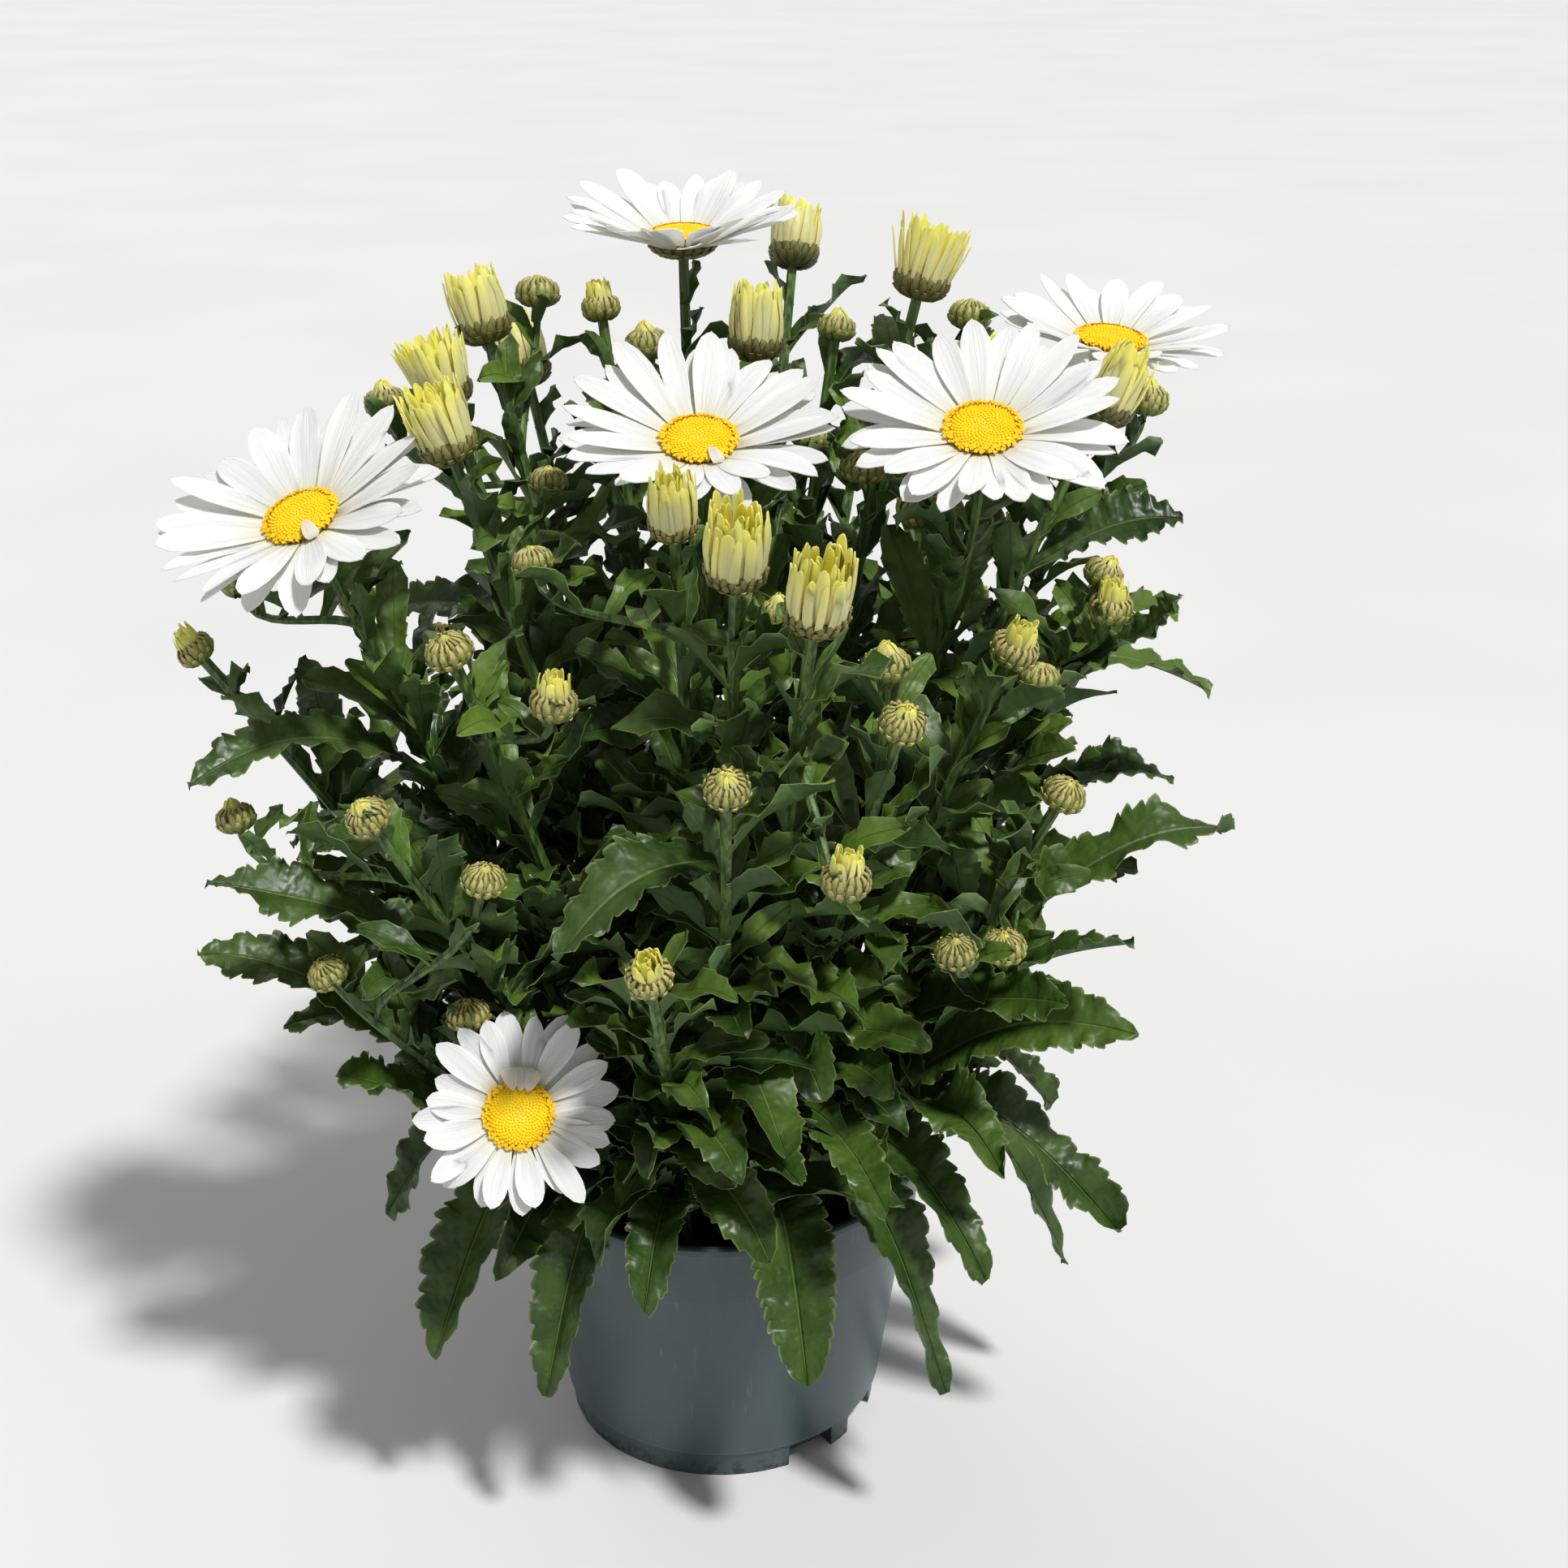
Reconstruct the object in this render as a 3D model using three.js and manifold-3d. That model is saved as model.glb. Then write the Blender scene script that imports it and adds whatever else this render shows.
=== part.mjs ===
// Potted shasta daisy: a grey nursery pot filled with potting soil, 34 leafy stems standing in the soil,
// six open daisies, cream tufts on the opening buds and round green buds. Millimetres, +Z up.
// The origin is the middle of the pot's underside, and the plant's best side faces -Y.
import * as THREE from "three";
import { mergeVertices } from "three/addons/utils/BufferGeometryUtils.js";
import Module from "manifold-3d";

const wasm = await Module();
wasm.setup();

// Driving dimensions of the pot.
const RIM_RADIUS = 70;
const POT_HEIGHT = 102;
const BASE_RADIUS = 54;
const WALL = 1.8;
const RIM_BAND = 23;
const FOOT_HEIGHT = 9;
const POT_SIDES = 24;
const NOTCH_HEIGHT = 8;
const NOTCH_WIDTH = 18;
const NOTCH_HEADINGS = [-54.4, -25.6, 125.6, 154.4];

// Driving dimensions of the soil and of the plant.
const SOIL_TOP = 90;
const SOIL_LUMP = 1.2;
const STEM_DEPTH = 24;
const STEM_RADIUS = 2.3;
const BRANCH_RADIUS = 1.5;
const GAP = 0.3;
const CROWN_SHARE = 0.25;
const CROWN_SPACING = 12;
const CROWN_LIMIT = 46;
const DISC_RADIUS = 11.5;
const DISC_HEIGHT = 5;
const PETALS = 20;
const PETAL_THICKNESS = 1.2;
const BUD_RADIUS = 6.5;
const CUP_RADIUS = 7.6;
const CUP_HEIGHT = 7.5;
const TUFT_PETALS = 7;
const TUFT_HEIGHT = 19;
const LEAF_THICKNESS = 1.1;
const STALK_STEPS = 4;
const STALK_SIDES = 5;
const RECEPTACLE_HEIGHT = 4.2;
const CELL = 5;
const GRAIN = 2.4;
const CLEARANCE = 2;
const NEAR_ROOT = 9;
const OWN_REACH = 22;
const GOLDEN_TURN = 137.5;

// Every main stem: what it carries, where its head joins it, and the buds on its side branches.
// A bloom also says its petals' reach and rise, how far it leans from upright and the heading it leans to.
const STEMS = [
  { head: "bloom", at: [-11, 72, 392], reach: 39, cup: 24, lean: 5, heading: -95, branches: [] },
  { head: "bloom", at: [-116, -43, 331], reach: 43, cup: 17, lean: 28, heading: -122, branches: [[-144, -16, 304]] },
  { head: "bloom", at: [-3, -25, 349], reach: 41, cup: 17, lean: 22, heading: -88, branches: [[30, 8, 344]] },
  { head: "bloom", at: [80, -31, 354], reach: 42, cup: 15, lean: 26, heading: -95, branches: [[63, -14, 326]] },
  { head: "bloom", at: [128, 58, 361], reach: 38, cup: 17, lean: 10, heading: -60, branches: [] },
  { head: "bloom", at: [-57, -95, 167], reach: 31, cup: 7, lean: 59, heading: -82, branches: [[-72, -82, 190]] },
  { head: "tuft", at: [-71, 32, 372], branches: [[-57, 50, 380]] },
  { head: "tuft", at: [-80, 3, 358], branches: [[-103, 25, 350]] },
  { head: "tuft", at: [-75, -30, 350], branches: [[-50, -8, 334]] },
  { head: "tuft", at: [13, 24, 368], branches: [[-21, 36, 366]] },
  { head: "tuft", at: [25, 122, 380], branches: [] },
  { head: "tuft", at: [63, 20, 388], branches: [[80, 34, 376]] },
  { head: "tuft", at: [118, 2, 354], branches: [[135, 20, 352]] },
  { head: "tuft", at: [-8, -82, 342], branches: [[-50, -52, 322]] },
  { head: "tuft", at: [9, -99, 334], branches: [[20, -66, 310]] },
  { head: "tuft", at: [30, -125, 331], branches: [[38, -142, 262]] },
  { head: "bud", at: [-36, 46, 376], branches: [] },
  { head: "bud", at: [-153, -36, 290], branches: [] },
  { head: "bud", at: [86, -72, 302], branches: [[97, -52, 286]] },
  { head: "bud", at: [38, 30, 373], branches: [[46, 0, 336]] },
  { head: "bud", at: [-71, -78, 304], branches: [[-42, -93, 293]] },
  { head: "bud", at: [-93, -98, 262], branches: [[-143, -52, 241]] },
  { head: "bud", at: [-113, -76, 202], branches: [[-62, -108, 247]] },
  { head: "bud", at: [-14, -136, 232], branches: [] },
  { head: "bud", at: [7, -134, 286], branches: [] },
  { head: "bud", at: [53, -113, 296], branches: [[50, -100, 307]] },
  { head: "bud", at: [119, -10, 305], branches: [[121, -24, 298]] },
  { head: "bud", at: [104, -58, 252], branches: [[70, -116, 229], [86, -90, 217]] },
  { head: "tuft", at: [-66, 96, 344], branches: [[-98, 82, 318]] },
  { head: "tuft", at: [88, 96, 338], branches: [[112, 112, 306]] },
  { head: "bud", at: [-22, 138, 318], branches: [[-8, 150, 282]] },
  { head: "bud", at: [48, 146, 300], branches: [] },
  { head: "bud", at: [-122, 62, 272], branches: [[-104, 104, 246]] },
  { head: "bud", at: [134, 66, 268], branches: [[96, 138, 244]] },
];

// Long leaves with a place of their own: the stem, the share of its height they leave it at,
// where the tip is, how wide they are, and how steeply they rise at first.
const LONG_LEAVES = [
  { stem: 1, from: 0.62, tip: [-152, -70, 262], width: 19, rise: 45 },
  { stem: 21, from: 0.68, tip: [-150, -78, 238], width: 18, rise: 25 },
  { stem: 22, from: 0.6, tip: [-157, -62, 199], width: 20, rise: 45 },
  { stem: 22, from: 0.4, tip: [-112, -82, 175], width: 18, rise: 30 },
  { stem: 17, from: 0.28, tip: [-134, -58, 176], width: 19, rise: 45 },
  { stem: 12, from: 0.6, tip: [162, -12, 260], width: 21, rise: 48 },
  { stem: 27, from: 0.55, tip: [166, -22, 229], width: 23, rise: 45 },
  { stem: 26, from: 0.4, tip: [131, -42, 209], width: 21, rise: 52 },
  { stem: 27, from: 0.4, tip: [127, -72, 213], width: 21, rise: 50 },
  { stem: 27, from: 0.26, tip: [132, -62, 176], width: 25, rise: 55 },
  { stem: 18, from: 0.3, tip: [110, -92, 205], width: 19, rise: 45 },
  { stem: 12, from: 0.8, tip: [146, -12, 322], width: 19, rise: 30 },
  { stem: 26, from: 0.86, tip: [141, -32, 309], width: 14, rise: 15 },
  { stem: 15, from: 0.62, tip: [-40, -132, 237], width: 23, rise: 32 },
  { stem: 23, from: 0.3, tip: [27, -124, 160], width: 24, rise: 52 },
  { stem: 21, from: 0.45, tip: [-128, -52, 216], width: 18, rise: 48 },
  { stem: 25, from: 0.2, tip: [52, -122, 150], width: 20, rise: 58 },
  { stem: 17, from: 0.62, tip: [-140, 2, 212], width: 18, rise: 45 },
  { stem: 1, from: 0.5, tip: [-118, -66, 240], width: 18, rise: 45 },
  { stem: 4, from: 0.62, tip: [152, 30, 282], width: 19, rise: 45 },
  { stem: 33, from: 0.6, tip: [154, 28, 224], width: 20, rise: 48 },
  { stem: 32, from: 0.55, tip: [-140, 34, 196], width: 20, rise: 48 },
  { stem: 28, from: 0.6, tip: [-122, 92, 262], width: 17, rise: 40 },
];

// Leaves from the foot of a stem that arch over the pot's rim: stem, tip, width and first rise.
const BASAL_LEAVES = [
  { stem: 27, tip: [131, -56, 99], width: 22, rise: 52 },
  { stem: 26, tip: [104, -76, 142], width: 20, rise: 42 },
  { stem: 12, tip: [117, -32, 56], width: 20, rise: 58 },
  { stem: 18, tip: [92, -84, 104], width: 21, rise: 52 },
  { stem: 25, tip: [74, -96, 66], width: 18, rise: 58 },
  { stem: 15, tip: [48, -104, 80], width: 27, rise: 58 },
  { stem: 24, tip: [0, -108, 78], width: 23, rise: 66 },
  { stem: 23, tip: [-20, -112, 108], width: 19, rise: 58 },
  { stem: 5, tip: [-44, -102, 66], width: 22, rise: 40 },
  { stem: 22, tip: [-90, -86, 72], width: 25, rise: 60 },
  { stem: 17, tip: [-112, -34, 92], width: 22, rise: 52 },
  { stem: 32, tip: [-106, 30, 84], width: 23, rise: 52 },
  { stem: 28, tip: [-84, 74, 92], width: 24, rise: 52 },
  { stem: 30, tip: [-40, 112, 84], width: 22, rise: 52 },
  { stem: 10, tip: [8, 112, 70], width: 24, rise: 52 },
  { stem: 31, tip: [52, 108, 88], width: 22, rise: 52 },
  { stem: 29, tip: [92, 78, 80], width: 24, rise: 52 },
  { stem: 33, tip: [120, 34, 94], width: 22, rise: 52 },
];

// The leaves that follow one another up every stem, from the lowest to the highest.
const STEM_LEAVES = { count: 6, from: 0.18, to: 0.95, long: 88, short: 32, wide: 24, narrow: 12 };

const colours = {
  pot: 0x56636a,
  soil: 0x1c1613,
  leaf: 0x1f5a1c,
  petal: 0xf6f5ec,
  disc: 0xf6b900,
  tuft: 0xf0e27a,
};

const vec = (x, y, z) => new THREE.Vector3(x, y, z);
const radians = THREE.MathUtils.degToRad;
const smooth = (x) => x * x * (3 - 2 * x);
const lerp = THREE.MathUtils.lerp;

// A seeded random number from 0 to 1 at each call.
function dice(seed) {
  let state = (seed * 7919 + 12345) % 2147483647;
  return () => {
    state = (state * 16807) % 2147483647;
    return state / 2147483647;
  };
}

// A unit vector that leans by so many degrees from upright, to a heading in degrees from +X.
function leaning(lean, heading) {
  const out = Math.sin(radians(lean));
  return vec(out * Math.cos(radians(heading)), out * Math.sin(radians(heading)), Math.cos(radians(lean)));
}

// A leaf blade: its midrib is one arc from root by knee to tip, in the upright plane of its heading.
class Leaf {
  constructor({ root, rise, fallTo, tip, heading, length, width, neck, belly, point, fold, twist, wave, phase, teeth }) {
    this.root = root.clone();
    if (tip) {
      const reach = tip.clone().sub(root);
      heading = THREE.MathUtils.radToDeg(Math.atan2(reach.y, reach.x));
      length = reach.length();
      this.tip = tip.clone();
      this.knee = root.clone().addScaledVector(leaning(90 - rise, heading), length * 0.55);
    } else {
      this.knee = root.clone().addScaledVector(leaning(90 - rise, heading), length * 0.5);
      this.tip = this.knee.clone().addScaledVector(leaning(90 - fallTo, heading), length * 0.5);
    }
    const h = radians(heading);
    this.across = vec(Math.sin(h), -Math.cos(h), 0);
    this.length = length;
    Object.assign(this, { heading, width, neck, belly, point, fold, twist, wave, phase, teeth });
  }

  midrib(u) {
    const a = (1 - u) * (1 - u);
    const b = 2 * u * (1 - u);
    const c = u * u;
    return vec(
      a * this.root.x + b * this.knee.x + c * this.tip.x,
      a * this.root.y + b * this.knee.y + c * this.tip.y,
      a * this.root.z + b * this.knee.z + c * this.tip.z,
    );
  }

  // The side and the upward normal of the blade at u, turned by the leaf's twist.
  frame(u) {
    const tangent = this.knee.clone().sub(this.root).multiplyScalar(1 - u);
    tangent.addScaledVector(this.tip.clone().sub(this.knee), u).normalize();
    const normal = this.across.clone().cross(tangent).normalize();
    const turn = radians(this.twist) * u;
    const side = this.across.clone().multiplyScalar(Math.cos(turn)).addScaledVector(normal, Math.sin(turn));
    const up = normal.multiplyScalar(Math.cos(turn)).addScaledVector(this.across, -Math.sin(turn));
    return { side, up };
  }

  // The leaf's first point, behind the middle of its stalk.
  sunkRoot() {
    return this.root.clone().addScaledVector(this.knee.clone().sub(this.root).normalize(), -0.25 * STEM_RADIUS);
  }

  halfWidth(u) {
    const swell = this.neck + (1 - this.neck) * smooth(Math.min(u / this.belly, 1));
    const past = Math.max(0, (u - this.belly) / (1 - this.belly));
    return (this.width / 2) * swell * Math.pow(Math.max(0, 1 - past * past), this.point);
  }

  // The point at u along the midrib, v from -1 to 1 across, and lift above the blade.
  at(u, v, lift = 0) {
    const { side, up } = this.frame(u);
    const half = this.halfWidth(u);
    const ripple = this.wave * Math.sin(2 * Math.PI * (2.2 * u + this.phase)) * v * Math.min(1, 3 * u);
    const fold = radians(this.fold);
    return this.midrib(u)
      .addScaledVector(side, v * half * Math.cos(fold))
      .addScaledVector(up, Math.abs(v) * half * Math.sin(fold) + ripple + lift);
  }

  // Points all over the blade, close enough together that nothing slips between them.
  cover() {
    const points = [];
    const rows = Math.ceil(this.length / GRAIN);
    for (let i = 1; i <= rows; i++) {
      const u = i / rows;
      const columns = Math.ceil((2 * this.halfWidth(u)) / GRAIN) + 1;
      for (let j = 0; j <= columns; j++) points.push(this.at(u, -1 + (2 * j) / columns));
    }
    return points;
  }
}

// Remembers points on everything placed so far, each with its radius and owner, sorted into cells.
class Crowd {
  constructor() {
    this.cells = new Map();
  }

  key(x, y, z) {
    return (Math.floor(x / CELL) + 200) * 1000000 + (Math.floor(y / CELL) + 200) * 1000 + Math.floor(z / CELL) + 200;
  }

  hold(points, radius, owner) {
    for (const p of points) {
      const k = this.key(p.x, p.y, p.z);
      if (!this.cells.has(k)) this.cells.set(k, []);
      this.cells.get(k).push({ p, radius, owner });
    }
  }

  // Whether a leaf's points are clear of the pot and of all that is held, save its own stem at its root.
  clear(points, owner, root) {
    for (const p of points) {
      const fromRoot = p.distanceTo(root);
      if (fromRoot > NEAR_ROOT && insidePot(p)) return false;
      for (let i = -1; i <= 1; i++)
        for (let j = -1; j <= 1; j++)
          for (let k = -1; k <= 1; k++)
            for (const held of this.cells.get(this.key(p.x + i * CELL, p.y + j * CELL, p.z + k * CELL)) ?? []) {
              if (fromRoot < OWN_REACH && held.owner === owner) continue;
              if (held.p.distanceTo(p) < held.radius + CLEARANCE) return false;
            }
    }
    return true;
  }
}

// The space of the table, the pot and the soil that leaves stay out of.
function insidePot(p) {
  const r = Math.hypot(p.x, p.y);
  return p.z < 4 || (r < 74 && p.z < (r < 62 ? SOIL_TOP + 3 : POT_HEIGHT + 3));
}

// Where each stem leaves the soil: a small copy of the heads' layout, spread out evenly.
function crown(stems) {
  const feet = stems.map((s) => ({ x: s.at[0] * CROWN_SHARE, y: s.at[1] * CROWN_SHARE }));
  for (let round = 0; round < 80; round++)
    for (let i = 0; i < feet.length; i++) {
      for (let j = 0; j < i; j++) {
        const dx = feet[i].x - feet[j].x;
        const dy = feet[i].y - feet[j].y;
        const apart = Math.hypot(dx, dy);
        if (apart >= CROWN_SPACING) continue;
        const push = (0.25 * (CROWN_SPACING - apart)) / apart;
        feet[i].x += dx * push;
        feet[i].y += dy * push;
        feet[j].x -= dx * push;
        feet[j].y -= dy * push;
      }
      const r = Math.hypot(feet[i].x, feet[i].y);
      if (r > CROWN_LIMIT) {
        feet[i].x *= CROWN_LIMIT / r;
        feet[i].y *= CROWN_LIMIT / r;
      }
    }
  return feet;
}

// The whole plant's layout: each stem's curve, facing, branches and leaves.
function layOut() {
  const feet = crown(STEMS);
  const crowd = new Crowd();
  const stems = STEMS.map((s, index) => {
    const at = vec(...s.at);
    const out = Math.hypot(at.x, at.y);
    const heading = s.heading ?? THREE.MathUtils.radToDeg(Math.atan2(at.y, at.x));
    const facing = leaning(s.lean ?? Math.min(40, 0.22 * out), heading);
    const foot = vec(feet[index].x, feet[index].y, SOIL_TOP - STEM_DEPTH);
    const rise = at.distanceTo(foot);
    const curve = new THREE.CubicBezierCurve3(
      foot,
      vec(foot.x + 0.12 * (at.x - foot.x), foot.y + 0.12 * (at.y - foot.y), foot.z + 0.3 * rise),
      at.clone().addScaledVector(facing, -0.26 * rise),
      at,
    );
    const branches = s.branches.map((b) => {
      const end = vec(...b);
      const span = end.z - 60;
      const t = Math.min(0.86, Math.max(0.3, (span - 0.9 * end.distanceTo(at)) / (at.z - foot.z) + 0.28));
      const start = insideStalk(curve, t);
      const away = vec(end.x - start.x, end.y - start.y, 0).multiplyScalar(0.004);
      const turned = away.add(vec(0, 0, 1)).normalize();
      const long = end.distanceTo(start);
      return {
        facing: turned,
        curve: new THREE.CubicBezierCurve3(
          start,
          start.clone().addScaledVector(curve.getTangent(t), 0.12 * long).addScaledVector(end.clone().sub(start), 0.2),
          end.clone().addScaledVector(turned, -0.35 * long),
          end,
        ),
      };
    });
    return { ...s, index, at, facing, curve, branches, leaves: [] };
  });
  for (const s of stems) {
    crowd.hold(alongCurve(s.curve), STEM_RADIUS, s.index);
    if (s.head === "bud") crowd.hold(aroundBud(s.at, s.facing), 2, s.index);
    else crowd.hold(aroundHead(s), 1.2, -1 - s.index);
    for (const b of s.branches) {
      crowd.hold(alongCurve(b.curve), BRANCH_RADIUS, s.index);
      crowd.hold(aroundBud(b.curve.v3, b.facing), 2, s.index);
    }
  }
  placeLeaves(stems, crowd);
  return stems;
}

// The share of a rising curve at which it reaches a height.
function shareAt(curve, z) {
  let low = 0;
  let high = 1;
  for (let i = 0; i < 24; i++) {
    const middle = (low + high) / 2;
    if (curve.getPoint(middle).z < z) low = middle;
    else high = middle;
  }
  return low;
}

// The middle of the stalk at a share of its curve: the stalk runs straight between its rings.
function insideStalk(curve, t) {
  const step = Math.min(STALK_STEPS - 1, Math.floor(t * STALK_STEPS));
  const share = t * STALK_STEPS - step;
  return curve.getPoint(step / STALK_STEPS).lerp(curve.getPoint((step + 1) / STALK_STEPS), share);
}

function alongCurve(curve) {
  const count = Math.ceil(curve.getLength() / GRAIN);
  return Array.from({ length: count + 1 }, (_, i) => curve.getPoint(i / count));
}

function aroundBud(at, facing) {
  const centre = at.clone().addScaledVector(facing, 5);
  const points = [centre];
  for (let i = 0; i < 8; i++)
    for (const height of [-3.5, 0, 3.5]) {
      const a = (i * Math.PI) / 4;
      points.push(centre.clone().add(vec(5 * Math.cos(a), 5 * Math.sin(a), height)));
    }
  return points;
}

// Points over an open bloom's petals, or up a tuft.
function aroundHead({ head, at, facing, reach }) {
  const points = [];
  const turn = new THREE.Quaternion().setFromUnitVectors(vec(0, 0, 1), facing);
  for (let i = 0; i < 40; i++) {
    const a = (i * Math.PI) / 20;
    if (head === "bloom")
      for (let r = 3; r <= reach + 2; r += 3)
        for (const tilt of [0, 22])
          points.push(vec(r * Math.cos(a), r * Math.sin(a), 6 + r * Math.tan(radians(tilt))));
    else if (i % 5 === 0)
      for (let h = 0; h <= CUP_HEIGHT + TUFT_HEIGHT; h += 3) points.push(vec(8 * Math.cos(a), 8 * Math.sin(a), h));
  }
  return points.map((p) => p.applyQuaternion(turn).add(at));
}

// Puts a leaf where it is clear, trying small turns first. Nothing is added where none fits.
function settle(stem, crowd, make, turns) {
  for (const turn of turns) {
    const leaf = make(turn);
    const points = leaf.cover();
    if (!crowd.clear(points, stem.index, leaf.root)) continue;
    crowd.hold(points, LEAF_THICKNESS / 2, stem.index);
    stem.leaves.push(leaf);
    return;
  }
}

function placeLeaves(stems, crowd) {
  const nudges = [];
  for (const lift of [0, 9, 18, -9])
    for (const turn of [0, 5, -5, 10, -10, 16, -16, 23, -23]) nudges.push([turn, lift]);
  const up = vec(0, 0, 1);
  BASAL_LEAVES.forEach((b, i) => {
    const stem = stems[b.stem];
    const chance = dice(500 + i);
    const looks = { twist: 50 * (chance() - 0.5), phase: chance() };
    const root = insideStalk(stem.curve, shareAt(stem.curve, SOIL_TOP + 7));
    settle(stem, crowd, ([turn, lift]) => new Leaf({
      root, rise: b.rise + lift, tip: vec(...b.tip).applyAxisAngle(up, radians(turn)),
      width: b.width, neck: 3.6 / b.width, belly: 0.66, point: 0.5, fold: 14, wave: 1.6, teeth: 4, ...looks,
    }), nudges);
  });
  LONG_LEAVES.forEach((b, i) => {
    const stem = stems[b.stem];
    const chance = dice(700 + i);
    const looks = { twist: 60 * (chance() - 0.5), phase: chance() };
    const root = insideStalk(stem.curve, b.from);
    settle(stem, crowd, ([turn, lift]) => new Leaf({
      root, rise: b.rise + lift, tip: vec(...b.tip).applyAxisAngle(up, radians(turn * 0.6)),
      width: b.width, neck: 3.6 / b.width, belly: 0.55, point: 0.7, fold: 16, wave: 1.4, teeth: 3, ...looks,
    }), nudges);
  });
  for (let level = STEM_LEAVES.count - 1; level >= 0; level--)
    for (const stem of stems) {
      const chance = dice(stem.index * 31 + level);
      const share = (level + 0.2 + 0.6 * chance()) / STEM_LEAVES.count;
      const t = lerp(STEM_LEAVES.from, STEM_LEAVES.to, share);
      const heading = GOLDEN_TURN * level + 77 * stem.index;
      const size = 0.85 + 0.3 * chance();
      const length = lerp(STEM_LEAVES.long, STEM_LEAVES.short, share) * size;
      const width = lerp(STEM_LEAVES.wide, STEM_LEAVES.narrow, share) * size;
      const rise = lerp(42, 62, share) + 20 * (chance() - 0.5);
      const fallTo = lerp(-25, 10, share) + 50 * (chance() - 0.5);
      const looks = { twist: 110 * (chance() - 0.5), phase: chance(), wave: 1.1, teeth: share < 0.45 ? 2 : share < 0.7 ? 1 : 0 };
      const root = insideStalk(stem.curve, t);
      settle(stem, crowd, (turn) => new Leaf({
        root, rise, fallTo, heading: heading + turn, length: length * (1 - Math.abs(turn) / 400),
        width, neck: 3.6 / width, belly: 0.45, point: 0.75, fold: 20, ...looks,
      }), [0, 25, -25, 50, -50, 75, -75, 100, -100, 130, -130, 180]);
    }
}

// A closed mesh from triangles given as a flat list of point indices.
function meshOf(points, triangles) {
  const geometry = new THREE.BufferGeometry().setFromPoints(points);
  geometry.setIndex(triangles);
  return geometry;
}

// A three.js geometry as a solid that can be joined and cut, with its faces turned outwards.
function solid(geometry) {
  const bare = geometry.clone();
  bare.deleteAttribute("normal");
  bare.deleteAttribute("uv");
  const merged = mergeVertices(bare, 1e-4);
  const triVerts = new Uint32Array(merged.index.array);
  const vertProperties = merged.attributes.position.array;
  const made = new wasm.Manifold(new wasm.Mesh({ numProp: 3, vertProperties, triVerts }));
  if (made.volume() >= 0) return made;
  for (let i = 0; i < triVerts.length; i += 3) [triVerts[i + 1], triVerts[i + 2]] = [triVerts[i + 2], triVerts[i + 1]];
  return new wasm.Manifold(new wasm.Mesh({ numProp: 3, vertProperties, triVerts }));
}

function geometryOf(made) {
  const { numProp, vertProperties, triVerts } = made.getMesh();
  const count = vertProperties.length / numProp;
  const positions = new Float32Array(count * 3);
  for (let i = 0; i < count; i++) positions.set(vertProperties.subarray(i * numProp, i * numProp + 3), i * 3);
  const geometry = new THREE.BufferGeometry().setAttribute("position", new THREE.BufferAttribute(positions, 3));
  geometry.setIndex(new THREE.BufferAttribute(triVerts, 1));
  geometry.computeVertexNormals();
  return geometry;
}

// Rings of points skinned one after another and closed by a fan at each end.
// With an apex, the first ring is closed by a cone to that point.
function skin(rings, apex) {
  const sides = rings[0].length;
  const points = rings.flat();
  const triangles = [];
  for (let i = 0; i + 1 < rings.length; i++)
    for (let j = 0; j < sides; j++) {
      const a = i * sides + j;
      const b = i * sides + ((j + 1) % sides);
      triangles.push(a, b, a + sides, b, b + sides, a + sides);
    }
  const last = (rings.length - 1) * sides;
  for (let j = 1; j + 1 < sides; j++) triangles.push(last, last + j, last + j + 1);
  if (apex) {
    const point = points.push(apex) - 1;
    for (let j = 0; j < sides; j++) triangles.push(point, (j + 1) % sides, j);
  } else for (let j = 1; j + 1 < sides; j++) triangles.push(0, j + 1, j);
  return meshOf(points, triangles);
}

// A ring of points of a radius round a centre, square to a direction.
function ring(centre, direction, radius, sides, offset = 0) {
  const turn = new THREE.Quaternion().setFromUnitVectors(vec(0, 0, 1), direction);
  return Array.from({ length: sides }, (_, j) => {
    const a = (2 * Math.PI * (j + offset)) / sides;
    return vec(radius * Math.cos(a), radius * Math.sin(a), 0).applyQuaternion(turn).add(centre);
  });
}

// Each kind of head on a stalk's end, as pairs of radius and height above the end.
const HEADS = {
  bud: [[0.96, 2.4], [1, 6.4], [0.4, 10.2]].map(([r, h]) => [r * BUD_RADIUS, h]),
  tuft: [[0.9, 2.2], [1, CUP_HEIGHT]].map(([r, h]) => [r * CUP_RADIUS, h]),
  bloom: [[0.62, 1.2], [1, RECEPTACLE_HEIGHT]].map(([r, h]) => [r * DISC_RADIUS, h]),
};

// The rings of a stalk at shares of its curve, tapering a little, and on to the head on its end.
function stalkRings(curve, radius, shares, head, facing) {
  const rings = shares.map((t) => ring(curve.getPoint(t), curve.getTangent(t), radius * (1 - 0.25 * t), STALK_SIDES));
  for (const [r, h] of HEADS[head]) {
    rings.push(ring(curve.v3.clone().addScaledVector(facing, h), facing, r, STALK_SIDES));
  }
  return rings;
}

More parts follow.
